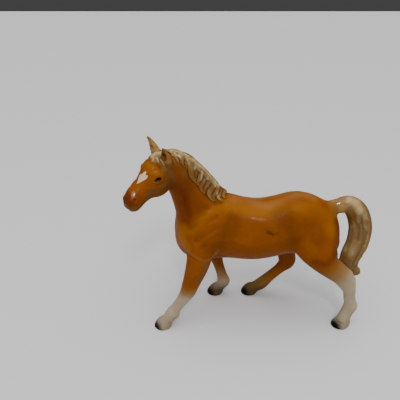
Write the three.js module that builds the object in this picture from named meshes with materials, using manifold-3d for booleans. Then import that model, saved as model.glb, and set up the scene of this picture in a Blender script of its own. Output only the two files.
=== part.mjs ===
// Walking horse figure in glazed earthenware, head turned to its left, tail arched to the hock.
// Millimetres, +Z up. The horse faces -X and its left side faces -Y. It is made as a potter makes
// it: hollow castings for the body, neck and head, solid castings for the legs and tail, and
// pressed sprigs for the ears, mane and forelock, all stuck together with slip before the firing.
import * as THREE from "three";
import { mergeVertices } from "three/addons/utils/BufferGeometryUtils.js";
import Module from "manifold-3d";

const wasm = await Module();
wasm.setup();

// Body
const BODY_LENGTH = 178; // breast to buttock
const BARREL_HEIGHT = 118; // middle of the barrel above the ground
const BARREL_DEPTH = 70;
const BARREL_WIDTH = 62;
const CASTING_WALL = 4;
const VENT_DIAMETER = 4.5; // lets steam out of the hollow body in the kiln
const SLIP_GAP = 0.3; // thickness of the slip in each joint

// Legs
const STANCE_WIDTH = 56; // middle of the left hooves to middle of the right hooves
const FORE_CANNON = 11; // front to back
const HIND_CANNON = 12;
const HOOF_LENGTH = 20.5;
const HOOF_WIDTH = 17.5;
const HOOF_HEIGHT = 10;

// Neck and head
const NECK_LENGTH = 78;
const NECK_DEPTH = 68; // at its root, throat to crest
const NECK_WIDTH = 37;
const NECK_RAKE_DEG = 64; // above the horizontal
const HEAD_LENGTH = 61;
const HEAD_DEPTH = 34;
const HEAD_WIDTH = 27;
const HEAD_TURN_DEG = 43; // to the horse's left
const HEAD_DROP_DEG = 42; // below the horizontal
const HEAD_TILT_DEG = 10; // left ear lower than the right
const EAR_LENGTH = 20;
const EAR_WIDTH = 9.5;
const EAR_THICKNESS = 6;
const EAR_SPACING = 15.5;
const EAR_CUP_DEPTH = 2;

// Hair
const MANE_ROLL = 13; // width of the roll of hair along the crest
const LOCK_COUNT = 9;
const LOCK_WIDTH = 12.5;
const LOCK_THICKNESS = 6.5;
const FORELOCK_LENGTH = 24;
const FORELOCK_WIDTH = 8;
const TAIL_WIDTH = 23;
const TAIL_THICKNESS = 15;
const TAIL_ARCH = 29.5; // how far the tail swings out behind a line from dock to hock

// Fineness of the faceted surfaces
const TRUNK_SIDES = 28;
const NECK_SIDES = 20;
const LIMB_SIDES = 16;
const EAR_SIDES = 12;
const LOCK_SIDES = 8;

const LEFT = new THREE.Vector3(0, -1, 0);
const RIGHT = new THREE.Vector3(0, 1, 0);
const REAR = new THREE.Vector3(1, 0, 0);
const UP = new THREE.Vector3(0, 0, 1);

const { degToRad, lerp, clamp } = THREE.MathUtils;

// A point moved by pairs of a distance and a direction.
function moved(point, ...steps) {
  const result = point.clone();
  for (let i = 0; i < steps.length; i += 2) {
    result.addScaledVector(steps[i + 1], steps[i]);
  }
  return result;
}

// One column of a table, carried smoothly from b to c, with a before them and d after.
function between(a, b, c, d, t) {
  const into = (c - a) / 2;
  const out = (d - b) / 2;
  const rise = c - b;
  return b + t * (into + t * (3 * rise - 2 * into - out + t * (into + out - 2 * rise)));
}

function rowAt(rows, place) {
  const last = rows.length - 1;
  const i = clamp(Math.floor(place * last), 0, last - 1);
  const t = place * last - i;
  const before = rows[Math.max(i - 1, 0)];
  const after = rows[Math.min(i + 2, last)];
  return rows[i].map((value, j) => between(before[j], value, rows[i + 1][j], after[j], t));
}

function refined(rows, steps) {
  const count = (rows.length - 1) * steps;
  return Array.from({ length: count + 1 }, (_, i) => rowAt(rows, i / count));
}

// The axes of a section: across it to the given side, and up it.
function axesAt(path, i, side) {
  const ahead = new THREE.Vector3(...path[Math.min(i + 1, path.length - 1)]);
  const behind = new THREE.Vector3(...path[Math.max(i - 1, 0)]);
  const along = ahead.sub(behind).normalize();
  const across = moved(side, -side.dot(along), along).normalize();
  return { across, up: along.clone().cross(across) };
}

// One closed ring. A row is x, y, z, half across, half above, half below, and a share by which
// the upper half narrows to a ridge. grow moves the skin out, or in when it is negative.
function ring([x, y, z, half, above, below, ridge = 0], { across, up }, sides, grow) {
  return Array.from({ length: sides }, (_, i) => {
    const angle = (2 * Math.PI * i) / sides;
    const [c, s] = [Math.cos(angle), Math.sin(angle)];
    const sideways = (half + grow) * c * (1 - ridge * Math.max(s, 0));
    const upright = ((s > 0 ? above : below) + grow) * s;
    return moved(new THREE.Vector3(x, y, z), sideways, across, upright, up);
  });
}

function middle(points) {
  return points.reduce((sum, p) => sum.add(p), new THREE.Vector3()).divideScalar(points.length);
}

// The closed skin over a row of rings.
function skin(rings) {
  const count = rings[0].length;
  const corners = [...rings.flat(), middle(rings[0]), middle(rings.at(-1))];
  const end = (rings.length - 1) * count;
  const faces = [];
  for (let i = 0; i < count; i++) {
    const next = (i + 1) % count;
    for (let k = 0; k < end; k += count) {
      faces.push(k + i, k + next, k + next + count, k + i, k + next + count, k + i + count);
    }
    faces.push(corners.length - 2, next, i, corners.length - 1, end + i, end + next);
  }
  return new THREE.BufferGeometry().setFromPoints(corners).setIndex(faces);
}

// A closed body swept through the rows, with its sections' axes fixed or following the path.
function sweep(rows, { side = RIGHT, sides = LIMB_SIDES, steps = 2, grow = 0, axes } = {}) {
  const path = refined(rows, steps);
  const rings = path.map((row, i) => ring(row, axes ?? axesAt(path, i, side), sides, grow));
  return solid(skin(rings));
}

function solid(geometry) {
  const bare = geometry.clone();
  bare.deleteAttribute("normal");
  bare.deleteAttribute("uv");
  const merged = mergeVertices(bare);
  const vertProperties = new Float32Array(merged.attributes.position.array);
  const triVerts = new Uint32Array(merged.index.array);
  return new wasm.Manifold(new wasm.Mesh({ numProp: 3, vertProperties, triVerts }));
}

// A ball of radius one, for scaling
const unitBall = (sides) => new THREE.SphereGeometry(undefined, sides, sides / 2);

const join = (solids) => solids.reduce((all, one) => all.add(one));

// A flat joint between two castings. ahead keeps what lies on the normal's side and behind keeps
// the rest, each half the slip's thickness back from the joint.
function jointAt(point, direction) {
  const normal = direction.clone().normalize();
  const place = point.dot(normal);
  return {
    ahead: (form) => form.trimByPlane(normal.toArray(), place + SLIP_GAP / 2),
    behind: (form) => form.trimByPlane(normal.clone().negate().toArray(), SLIP_GAP / 2 - place),
  };
}

// Trunk: along the body, top and bottom over and under the barrel's middle in barrel depths, half
// width in barrel widths, ridge
const trunkShares = [
  [0.0, 0.06, 0.14, 0.13, 0],
  [0.012, 0.17, 0.26, 0.25, 0],
  [0.05, 0.32, 0.41, 0.35, 0],
  [0.12, 0.45, 0.51, 0.42, 0.1],
  [0.22, 0.54, 0.5, 0.46, 0.25],
  [0.32, 0.6, 0.485, 0.475, 0.4],
  [0.41, 0.535, 0.5, 0.49, 0.25],
  [0.5, 0.495, 0.495, 0.5, 0.1],
  [0.59, 0.535, 0.45, 0.5, 0.1],
  [0.69, 0.61, 0.375, 0.49, 0.15],
  [0.79, 0.61, 0.35, 0.48, 0.2],
  [0.87, 0.52, 0.35, 0.44, 0.2],
  [0.93, 0.4, 0.38, 0.38, 0.1],
  [0.97, 0.26, 0.4, 0.31, 0],
  [0.992, 0.09, 0.38, 0.22, 0],
  [1.0, -0.08, 0.3, 0.1, 0],
];
const trunkAxes = { across: RIGHT, up: UP };

const trunkRows = trunkShares.map(([along, top, bottom, half, ridge]) => {
  const height = BARREL_HEIGHT + ((top - bottom) / 2) * BARREL_DEPTH;
  const halfDepth = ((top + bottom) / 2) * BARREL_DEPTH;
  return [along * BODY_LENGTH, 0, height, half * BARREL_WIDTH, halfDepth, halfDepth, ridge];
});

const trunkForm = (grow = 0) => sweep(trunkRows, { sides: TRUNK_SIDES, grow, axes: trunkAxes });

// Legs: back from the root and height above the ground in barrel heights, and how far out from
// the root towards the hoof's line
const leftForeShares = [
  [0.03, 1.24, -0.5],
  [-0.012, 0.96, 0.2],
  [-0.037, 0.807, 0.66],
  [-0.067, 0.688, 0.86],
  [-0.11, 0.552, 0.96],
  [-0.142, 0.45, 1.0],
  [-0.178, 0.378, 1.02],
  [-0.229, 0.289, 1.04],
  [-0.269, 0.225, 1.06],
  [-0.3, 0.178, 1.08],
  [-0.338, 0.11, 1.1],
  [-0.369, 0.06, 1.1],
];
const rightForeShares = [
  [0.05, 1.24, -0.5],
  [0.021, 0.95, 0.2],
  [0.034, 0.78, 0.66],
  [0.047, 0.67, 0.82],
  [0.066, 0.586, 0.86],
  [0.078, 0.527, 0.88],
  [0.095, 0.45, 0.9],
  [0.117, 0.374, 0.92],
  [0.15, 0.255, 0.94],
  [0.162, 0.161, 0.96],
  [0.143, 0.102, 0.96],
  [0.106, 0.064, 0.96],
];
const leftHindShares = [
  [-0.02, 1.27, -0.6],
  [0.02, 1.06, 0.2],
  [0.07, 0.918, 0.6],
  [0.13, 0.824, 0.82],
  [0.216, 0.731, 0.94],
  [0.326, 0.64, 1.0],
  [0.4, 0.561, 1.0],
  [0.454, 0.459, 1.0],
  [0.467, 0.374, 1.0],
  [0.484, 0.31, 1.0],
  [0.494, 0.255, 1.0],
  [0.474, 0.17, 1.0],
  [0.455, 0.076, 1.0],
];
const rightHindShares = [
  [-0.04, 1.27, -0.6],
  [-0.034, 1.05, 0.2],
  [-0.07, 0.9, 0.6],
  [-0.078, 0.79, 0.82],
  [-0.075, 0.68, 0.92],
  [-0.05, 0.565, 0.94],
  [-0.022, 0.433, 0.95],
  [-0.065, 0.352, 0.96],
  [-0.122, 0.287, 0.97],
  [-0.191, 0.21, 0.98],
  [-0.262, 0.128, 0.98],
  [-0.315, 0.088, 0.98],
  [-0.348, 0.064, 0.98],
];
// Girths down a leg, in cannons: half across, half behind, half in front
const foreGirthShares = [
  [0.5, 1.0, 1.0],
  [0.86, 1.45, 1.5],
  [0.86, 1.22, 1.22],
  [0.8, 1.07, 1.05],
  [0.72, 0.88, 0.86],
  [0.7, 0.8, 0.76],
  [0.6, 0.66, 0.62],
  [0.5, 0.57, 0.54],
  [0.48, 0.57, 0.56],
  [0.57, 0.84, 0.62],
  [0.54, 0.58, 0.6],
  [0.62, 0.68, 0.66],
];
const hindGirthShares = [
  [0.7, 1.4, 1.3],
  [1.2, 2.3, 2.0],
  [1.14, 2.15, 1.62],
  [1.02, 1.65, 1.24],
  [0.86, 1.22, 0.96],
  [0.74, 0.98, 0.8],
  [0.66, 0.9, 0.78],
  [0.56, 0.52, 0.6],
  [0.48, 0.52, 0.52],
  [0.48, 0.56, 0.54],
  [0.56, 0.66, 0.6],
  [0.52, 0.56, 0.54],
  [0.58, 0.62, 0.62],
];
// For each leg: where its root lies along and out from the middle of the body, where the hoof
// stands back from the root, the row where it is stuck on, and how that joint leans out and back.
const legs = {
  fore_leg_left: {
    side: -1, rootShares: [0.169, 0.26], rows: leftForeShares, girths: foreGirthShares,
    cannon: FORE_CANNON, hoofBackShare: -0.396, jointRow: 3, leanDeg: 28, slopeDeg: 0,
  },
  fore_leg_right: {
    side: 1, rootShares: [0.203, 0.26], rows: rightForeShares, girths: foreGirthShares,
    cannon: FORE_CANNON, hoofBackShare: 0.083, jointRow: 3, leanDeg: 28, slopeDeg: 0,
  },
  hind_leg_left: {
    side: -1, rootShares: [0.782, 0.22], rows: leftHindShares, girths: hindGirthShares,
    cannon: HIND_CANNON, hoofBackShare: 0.438, jointRow: 4, leanDeg: 14, slopeDeg: 40,
  },
  hind_leg_right: {
    side: 1, rootShares: [0.762, 0.22], rows: rightHindShares, girths: hindGirthShares,
    cannon: HIND_CANNON, hoofBackShare: -0.389, jointRow: 3, leanDeg: 22, slopeDeg: 0,
  },
};

function legRows({ side, rootShares, rows, girths, cannon }) {
  const [rootX, rootY] = [rootShares[0] * BODY_LENGTH, rootShares[1] * BARREL_WIDTH];
  return rows.map(([back, height, out], i) => [
    rootX + back * BARREL_HEIGHT,
    side * lerp(rootY, STANCE_WIDTH / 2, out),
    height * BARREL_HEIGHT,
    ...girths[i].map((share) => share * cannon),
  ]);
}

// Hoof, from the sole up: height, half length, half width, shift back
const hoofShares = [
  [0.0, 0.43, 0.43, 0.0],
  [0.16, 0.49, 0.49, 0.0],
  [0.5, 0.48, 0.48, 0.05],
  [0.85, 0.42, 0.42, 0.11],
  [1.15, 0.3, 0.32, 0.14],
  [1.3, 0.15, 0.15, 0.16],
];

function hoof(leg, grow) {
  const x = leg.rootShares[0] * BODY_LENGTH + leg.hoofBackShare * BARREL_HEIGHT;
  const y = legRows(leg).at(-1)[1];
  const rings = hoofShares.map(([height, long, wide, back]) => {
    const halves = [wide * HOOF_WIDTH, long * HOOF_LENGTH, long * HOOF_LENGTH];
    const row = [x + back * HOOF_LENGTH, y, height * HOOF_HEIGHT, ...halves];
    return ring(row, { across: LEFT, up: REAR }, LIMB_SIDES, grow);
  });
  return solid(skin(rings));
}

function legForm(leg, grow = 0) {
  return sweep(legRows(leg), { grow }).add(hoof(leg, grow)).trimByPlane(UP.toArray(), 0);
}

function legJoint(leg) {
  const [x, y, z] = legRows(leg)[leg.jointRow];
  const lean = degToRad(leg.leanDeg);
  const slope = degToRad(leg.slopeDeg);
  const down = -Math.cos(lean) * Math.cos(slope);
  const normal = new THREE.Vector3(Math.sin(slope), leg.side * Math.sin(lean), down);
  return jointAt(new THREE.Vector3(x, y, z), normal);
}

const legCasting = (leg) => legJoint(leg).ahead(legForm(leg)).subtract(trunkForm(SLIP_GAP));

// Neck: along it, offset to the crest side, half width, crest half, throat half, ridge. Its root
// lies inside the shoulders.
const neckShares = [
  [0.0, -0.02, 0.56, 0.49, 0.46, 0.2],
  [0.16, -0.02, 0.5, 0.455, 0.405, 0.3],
  [0.34, -0.02, 0.42, 0.4, 0.33, 0.35],
  [0.51, -0.01, 0.36, 0.35, 0.295, 0.35],
  [0.67, -0.01, 0.33, 0.3, 0.27, 0.3],
  [0.82, -0.02, 0.31, 0.245, 0.245, 0.2],
  [0.93, -0.06, 0.29, 0.19, 0.235, 0.1],
  [1.0, -0.12, 0.26, 0.14, 0.19, 0],
];
const neckRootShares = [0.19, 0.19]; // along the body, and over the barrel's middle in its depths
const neckBendShare = 0.05; // towards the side the head turns to
const neckJointShare = 0.3; // of the neck's length, where it is stuck to the body

const neckRise = new THREE.Vector3(-1, 0, Math.tan(degToRad(NECK_RAKE_DEG))).normalize();
const neckCrest = neckRise.clone().cross(LEFT);
const neckRoot = new THREE.Vector3(
  neckRootShares[0] * BODY_LENGTH,
  0,
  BARREL_HEIGHT + neckRootShares[1] * BARREL_DEPTH,
);

const neckRows = neckShares.map(([along, offset, half, crest, throat, ridge]) => {
  const bend = neckBendShare * along * along * NECK_LENGTH;
  const place = moved(neckRoot, along * NECK_LENGTH, neckRise, offset * NECK_DEPTH, neckCrest, bend, LEFT);
  return [...place, half * NECK_WIDTH, crest * NECK_DEPTH, throat * NECK_DEPTH, ridge];
});

function neckForm(grow = 0) {
  return sweep(neckRows, { side: LEFT, sides: NECK_SIDES, grow });
}

// Head: along the face from the poll, brow and jaw from that line in head depths, half width
const headShares = [
  [-0.08, -0.08, 0.42, 0.24],
  [0.0, 0.06, 0.56, 0.34],
  [0.1, 0.18, 0.66, 0.41],
  [0.22, 0.235, 0.77, 0.47],
  [0.34, 0.235, 0.83, 0.5],
  [0.45, 0.2, 0.82, 0.48],
  [0.55, 0.18, 0.73, 0.42],
  [0.66, 0.19, 0.58, 0.36],
  [0.76, 0.22, 0.48, 0.34],
  [0.86, 0.215, 0.42, 0.35],
  [0.94, 0.14, 0.36, 0.31],
  [0.985, 0.03, 0.26, 0.2],
  [1.0, -0.05, 0.16, 0.08],
];
const pollShares = [0.12, 0.07]; // over the neck's end in its lengths, ahead in head lengths

const heading = new THREE.Vector3(-1, 0, 0).applyAxisAngle(UP, degToRad(HEAD_TURN_DEG));
const headLevel = heading.clone().cross(UP);
const headAxis = heading.clone().applyAxisAngle(headLevel, -degToRad(HEAD_DROP_DEG));
const headSide = headLevel.clone().applyAxisAngle(headAxis, -degToRad(HEAD_TILT_DEG)); // to its right
const headBrow = headSide.clone().cross(headAxis); // out of the forehead
const poll = moved(
  new THREE.Vector3(...neckRows.at(-1)),
  pollShares[0] * NECK_LENGTH,
  UP,
  pollShares[1] * HEAD_LENGTH,
  heading,
);

// Cheeks, eyes and nostrils on each side of the head: along it, aside in head widths, out in head
// depths, and half sizes along, across and out, in head depths
const featureShares = [
  [0.37, 0.3, -0.42, 0.4, 0.2, 0.38],
  [0.385, 0.36, -0.06, 0.13, 0.085, 0.085],
  [0.87, 0.2, 0.07, 0.08, 0.07, 0.08],
];

function headFeature([along, aside, out, long, wide, deep], side, grow) {
  const form = unitBall(LIMB_SIDES);
  form.scale(long * HEAD_DEPTH + grow, wide * HEAD_DEPTH + grow, deep * HEAD_DEPTH + grow);
  form.applyMatrix4(new THREE.Matrix4().makeBasis(headAxis, headBrow.clone().cross(headAxis), headBrow));
  const [down, across] = [along * HEAD_LENGTH, side * aside * HEAD_WIDTH];
  form.translate(...moved(poll, down, headAxis, across, headSide, out * HEAD_DEPTH, headBrow));
  return solid(form);
}

function headForm(grow = 0) {
  const rows = headShares.map(([along, brow, jaw, half]) => {
    const offset = ((brow - jaw) / 2) * HEAD_DEPTH;
    const halfDepth = ((brow + jaw) / 2) * HEAD_DEPTH;
    const place = moved(poll, along * HEAD_LENGTH, headAxis, offset, headBrow);
    return [...place, half * HEAD_WIDTH, halfDepth, halfDepth];
  });
  const axes = { across: headSide.clone().negate(), up: headBrow };
  const skull = sweep(rows, { sides: NECK_SIDES, grow, axes });
  const features = featureShares.flatMap((row) => [-1, 1].map((side) => headFeature(row, side, grow)));
  return join([skull, ...features]);
}

// Where the hollow castings meet
const headJointShares = [0.33, 0.62, 0.3]; // below the poll in head depths, heading, neck's rise
const headJoint = jointAt(
  moved(poll, -headJointShares[0] * HEAD_DEPTH, headBrow),
  moved(new THREE.Vector3(), headJointShares[1], heading, headJointShares[2], neckRise),
);
const neckJoint = jointAt(moved(neckRoot, neckJointShare * NECK_LENGTH, neckRise), neckRise);

// Hollows, a wall's thickness inside the forms, and the vent in the belly
const ventShare = 0.47; // along the body

function bodyHollow() {
  const rows = trunkRows.slice(2, -2);
  return sweep(rows, { sides: TRUNK_SIDES, steps: 1, grow: -CASTING_WALL, axes: trunkAxes });
}

function neckHollow() {
  return sweep(neckRows, { side: LEFT, sides: NECK_SIDES, steps: 1, grow: -CASTING_WALL });
}

function vent() {
  const bore = new THREE.CylinderGeometry(VENT_DIAMETER / 2, VENT_DIAMETER / 2, BARREL_DEPTH);
  bore.rotateX(Math.PI / 2);
  bore.translate(ventShare * BODY_LENGTH, 0, BARREL_HEIGHT - BARREL_DEPTH / 2);
  return solid(bore);
}

const legList = Object.values(legs);

function bodySkin(grow = 0) {
  const roots = legList.map((leg) => legJoint(leg).behind(legForm(leg, grow)));
  return join([trunkForm(grow), ...roots]);
}

function bodyCasting() {
  const skinned = neckJoint.behind(bodySkin().add(neckForm()));
  return skinned.subtract(bodyHollow()).subtract(neckHollow()).subtract(vent());
}

function neckCasting() {
  return headJoint.behind(neckJoint.ahead(neckForm().add(headForm()))).subtract(neckHollow());
}

function headCasting() {
  return headJoint.ahead(headForm().add(neckForm())).subtract(neckHollow());
}

// Ears: up from the root, half width, half thickness, curl forward in thicknesses
const earShares = [
  [-0.25, 0.56, 0.5, 0.0],
  [0.0, 0.58, 0.5, 0.0],
  [0.25, 0.56, 0.48, 0.0],
  [0.5, 0.45, 0.42, 0.06],
  [0.75, 0.29, 0.3, 0.14],
  [0.93, 0.19, 0.2, 0.24],
  [1.0, 0.11, 0.12, 0.28],
];
const earInwardShare = 0.06; // root in from the poll in head depths
// Each ear's root behind the poll in head lengths, its lean back along the head, and out to its side
const leftEarShares = [-0.02, 0.3, 0.15];
const rightEarShares = [0.03, 0.35, 0.3];
const earCupShares = [0.42, 0.62, 0.75]; // height of its middle, width, length

function earAxes(side) {
  const [behind, lean, out] = side < 0 ? leftEarShares : rightEarShares;
  const rise = moved(headBrow, -lean, headAxis, side * out, headSide).normalize();
  const front = moved(headAxis, -headAxis.dot(rise), rise).normalize();
  const [back, inward] = [behind * HEAD_LENGTH, earInwardShare * HEAD_DEPTH];
  const root = moved(poll, -back, headAxis, side * (EAR_SPACING / 2), headSide, -inward, headBrow);
  return { root, rise, front };
}

function earForm(side, grow = 0) {
  const { root, rise, front } = earAxes(side);
  const rows = earShares.map(([up, half, thick, curl]) => {
    const place = moved(root, up * EAR_LENGTH, rise, curl * EAR_THICKNESS, front);
    return [...place, half * EAR_WIDTH, thick * EAR_THICKNESS, thick * EAR_THICKNESS];
  });
  return sweep(rows, { side: headSide, sides: EAR_SIDES, grow });
}

function ear(side) {
  const { root, rise, front } = earAxes(side);
  const cup = unitBall(EAR_SIDES);
  cup.scale((earCupShares[1] * EAR_WIDTH) / 2, (earCupShares[2] * EAR_LENGTH) / 2, EAR_CUP_DEPTH);
  cup.applyMatrix4(new THREE.Matrix4().makeBasis(rise.clone().cross(front), rise, front));
  cup.translate(...moved(root, earCupShares[0] * EAR_LENGTH, rise, EAR_THICKNESS / 2, front));
  return earForm(side).subtract(solid(cup)).subtract(headAndNeckForm());
}

const headAndNeckForm = () => headForm(SLIP_GAP).add(neckForm(SLIP_GAP));
const earForms = () => earForm(-1, SLIP_GAP).add(earForm(1, SLIP_GAP));

// Hair: a lock's width and thickness at each of its points
const lockShares = [
  [0.62, 0.9],
  [0.92, 1.0],
  [1.0, 1.0],
  [0.86, 0.85],
  [0.52, 0.6],
  [0.1, 0.3],
];
const lockLast = lockShares.length - 1;

// A lock through the points that the path gives for 0 to 1.
function lock(path, width, side, grow = 0) {
  const rows = lockShares.map(([wide, thick], i) => {
    const flat = (thick * LOCK_THICKNESS) / 2;
    return [...path(i / lockLast), (wide * width) / 2, flat, flat];
  });
  return sweep(rows, { side, sides: LOCK_SIDES, steps: 1, grow });
}

// A point over the neck: along it, round from its left side to its crest in degrees, and lifted.
const neckFinenessSteps = 8;
const neckPath = refined(neckRows, neckFinenessSteps);
const CREST_DEG = 90;

function neckPoint(along, angle, lift) {
  const last = neckPath.length - 1;
  const i = Math.round(clamp(along, 0, 1) * last);
  const [x, y, z, half, crest, throat, ridge] = neckPath[i];
  const { across, up } = axesAt(neckPath, i, LEFT);
  const [c, s] = [Math.cos(degToRad(angle)), Math.sin(degToRad(angle))];
  const sideways = (half * (1 - ridge * Math.max(s, 0)) + lift) * c;
  return moved(new THREE.Vector3(x, y, z), sideways, across, ((s > 0 ? crest : throat) + lift) * s, up);
}

// The mane is a roll along the crest, with locks that fall from it over the left of the neck.
const maneSpanShares = [0.95, 0.3]; // of the neck, from the first lock's root to the last
const maneFallShares = [0.15, 0.07]; // how far down the neck a lock runs, and every other one more
const MANE_TIP_DEG = 14; // first lock's tip, round the neck from its left side
const MANE_END_DEG = 34; // last lock's tip
const MANE_STAGGER_DEG = 12; // how much higher every other tip lies
const maneRollShares = [
  [1.0, 0.5],
  [0.9, 0.9],
  [0.7, 1.0],
  [0.5, 1.0],
  [0.3, 0.95],
  [0.14, 0.6],
];

function maneLock(i, grow) {
  const place = i / (LOCK_COUNT - 1);
  const root = lerp(...maneSpanShares, place);
  const fall = maneFallShares[0] + maneFallShares[1] * (i % 2);
  const tip = lerp(MANE_TIP_DEG, MANE_END_DEG, place) + MANE_STAGGER_DEG * ((i + 1) % 2);
  const path = (t) => neckPoint(root - fall * t * t, lerp(CREST_DEG, tip, t), 0);
  return lock(path, LOCK_WIDTH, neckRise, grow);
}

function maneForm(grow = 0) {
  const rows = maneRollShares.map(([along, size]) => {
    const half = (size * MANE_ROLL) / 2;
    return [...neckPoint(along, CREST_DEG, 0), half, half / 2, half];
  });
  const roll = sweep(rows, { side: LEFT, sides: LOCK_SIDES, grow });
  const locks = Array.from({ length: LOCK_COUNT }, (_, i) => maneLock(i, grow));
  return join([roll, ...locks]);
}

function mane() {
  return maneForm().subtract(headAndNeckForm()).subtract(bodySkin(SLIP_GAP)).subtract(earForms());
}

// The forelock falls between the ears onto the brow, its locks fanned out.
const forelockStartShare = -0.1; // along the head from the poll
const forelockFanShares = [-1.3, -0.85, -0.4, 0.05, 0.45]; // aside of each tip, in forelock widths
const forelockLengthShares = [0.8, 1.0, 0.85, 1.0, 0.75];
const forelockOutShares = [[0.04], [0.13], [0.19], [0.22]]; // down a lock, in head depths
const forelockRoundShare = 0.25; // how much further in a tip lies one forelock width aside

function forelock() {
  const locks = forelockFanShares.map((fan, i) => {
    const length = forelockLengthShares[i] * FORELOCK_LENGTH;
    const path = (t) => {
      const along = forelockStartShare * HEAD_LENGTH + t * length;
      const aside = fan * t;
      const round = forelockRoundShare * aside * aside * FORELOCK_WIDTH;
      const out = rowAt(forelockOutShares, t)[0] * HEAD_DEPTH - round;
      return moved(poll, along, headAxis, aside * FORELOCK_WIDTH, headSide, out, headBrow);
    };
    return lock(path, FORELOCK_WIDTH, headSide);
  });
  return join(locks).subtract(headAndNeckForm()).subtract(earForms()).subtract(maneForm(SLIP_GAP));
}

// Tail: down from the dock to the hock, swing out behind that line, half width, half thickness
const tailShares = [
  [0.0, 0.0, 0.26, 0.4],
  [-0.01, 0.36, 0.36, 0.45],
  [-0.025, 0.76, 0.44, 0.5],
  [0.08, 0.97, 0.5, 0.5],
  [0.28, 0.93, 0.53, 0.5],
  [0.5, 0.66, 0.53, 0.5],
  [0.7, 0.28, 0.52, 0.48],
  [0.86, 0.06, 0.49, 0.4],
  [0.98, 0.07, 0.3, 0.3],
  [1.07, 0.15, 0.12, 0.17],
];
const dockShares = [0.91, 0.395]; // along the body, and over the barrel's middle in its depths
const tailTipShares = [0.62, 0.75, 0.3]; // behind, inside and above the hock, in hind cannons
const HOCK_ROW = 6;

function tailForm() {
  const [hockX, hockY, hockZ] = legRows(legs.hind_leg_left)[HOCK_ROW];
  const [behind, inside, above] = tailTipShares.map((share) => share * HIND_CANNON);
  const tip = new THREE.Vector3(hockX + behind, hockY + inside, hockZ + above);
  const dockHeight = BARREL_HEIGHT + dockShares[1] * BARREL_DEPTH;
  const dock = new THREE.Vector3(dockShares[0] * BODY_LENGTH, 0, dockHeight);
  const rows = tailShares.map(([down, swing, wide, thick]) => {
    const place = moved(dock.clone().lerp(tip, down), swing * TAIL_ARCH, REAR);
    return [...place, thick * TAIL_THICKNESS, wide * TAIL_WIDTH, wide * TAIL_WIDTH];
  });
  return sweep(rows, { steps: 3 });
}

function tailCasting() {
  return tailForm().subtract(bodySkin(SLIP_GAP)).subtract(legForm(legs.hind_leg_left, SLIP_GAP));
}

// Colours of the glaze and the painted hair
const PALOMINO = { color: 0xb5691c, roughness: 0.16, metalness: 0 };
const CREAM = { color: 0xc9b48a, roughness: 0.18, metalness: 0 };

const pieces = {
  body_casting: [bodyCasting(), PALOMINO],
  neck_casting: [neckCasting(), PALOMINO],
  head_casting: [headCasting(), PALOMINO],
  ear_left: [ear(-1), PALOMINO],
  ear_right: [ear(1), PALOMINO],
  mane: [mane(), CREAM],
  forelock: [forelock(), CREAM],
  tail_casting: [tailCasting(), CREAM],
};
for (const [name, leg] of Object.entries(legs)) {
  pieces[name] = [legCasting(leg), CREAM];
}

const horse = new THREE.Group();
for (const [name, [shape, finish]] of Object.entries(pieces)) {
  const { vertProperties, triVerts } = shape.getMesh();
  const geometry = new THREE.BufferGeometry();
  geometry.setAttribute("position", new THREE.BufferAttribute(vertProperties, 3));
  geometry.setIndex(new THREE.BufferAttribute(triVerts, 1));
  geometry.computeVertexNormals();
  const mesh = new THREE.Mesh(geometry, new THREE.MeshStandardMaterial(finish));
  mesh.name = name;
  horse.add(mesh);
}

// The origin is on the ground under the middle of the whole figure.
const extent = new THREE.Box3().setFromObject(horse);
const centre = extent.getCenter(new THREE.Vector3());
horse.position.set(-centre.x, -centre.y, -extent.min.z);

export default horse;
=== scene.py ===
import bmesh
import bpy
import numpy as np
import openvdb
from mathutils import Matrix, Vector
from mathutils.bvhtree import BVHTree


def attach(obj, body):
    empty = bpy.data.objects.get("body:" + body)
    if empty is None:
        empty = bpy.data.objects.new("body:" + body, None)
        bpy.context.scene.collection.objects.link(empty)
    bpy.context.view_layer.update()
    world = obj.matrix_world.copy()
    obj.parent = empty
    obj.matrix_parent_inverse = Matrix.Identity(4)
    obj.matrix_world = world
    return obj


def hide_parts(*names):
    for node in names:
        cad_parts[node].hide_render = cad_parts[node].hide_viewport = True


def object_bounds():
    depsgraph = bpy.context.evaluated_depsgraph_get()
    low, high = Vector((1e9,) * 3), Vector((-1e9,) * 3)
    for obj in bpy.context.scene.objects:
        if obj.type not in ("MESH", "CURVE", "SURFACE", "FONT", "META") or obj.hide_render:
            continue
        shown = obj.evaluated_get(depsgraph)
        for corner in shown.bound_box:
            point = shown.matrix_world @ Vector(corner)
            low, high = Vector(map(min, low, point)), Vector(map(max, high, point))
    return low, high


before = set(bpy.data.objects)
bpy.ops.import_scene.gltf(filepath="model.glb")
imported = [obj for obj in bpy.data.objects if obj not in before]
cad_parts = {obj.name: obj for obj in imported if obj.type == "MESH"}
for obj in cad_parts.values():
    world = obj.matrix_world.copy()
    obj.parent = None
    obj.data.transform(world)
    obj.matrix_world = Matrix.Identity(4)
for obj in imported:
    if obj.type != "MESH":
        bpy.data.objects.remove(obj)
cad_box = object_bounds()

# Photo stand. The figure is seen from its left and from above, on a plain pale floor in a white
# tent, under one small lamp that leaves the few sharp highlights. The four hooves on one floor
# give the lens and the place of the camera.
CAMERA_PLACE = Vector((-0.0552, -0.3612, 0.363))
LOOK_DOWN = np.radians(30.0)
LENS = 36.0
PHOTO_SIDE = 400
FLOOR_SIDE = 8.0
PAPER_GREY = 0.62
PAPER_ROUGHNESS = 0.9
TENT_GLOW = 3.7
TENT_DARKEST = 0.06
TENT_NARROWNESS = 4.0
TENT_TOP = (0.0, -0.2, 0.98)  # where the tent glows brightest, a little towards the camera
LAMP_PLACE = Vector((0.03, -0.80, 1.06))
LAMP_AIM = Vector((0, 0, 0.1))
LAMP_SIDE = 0.14
LAMP_WATTS = 3.8


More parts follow.
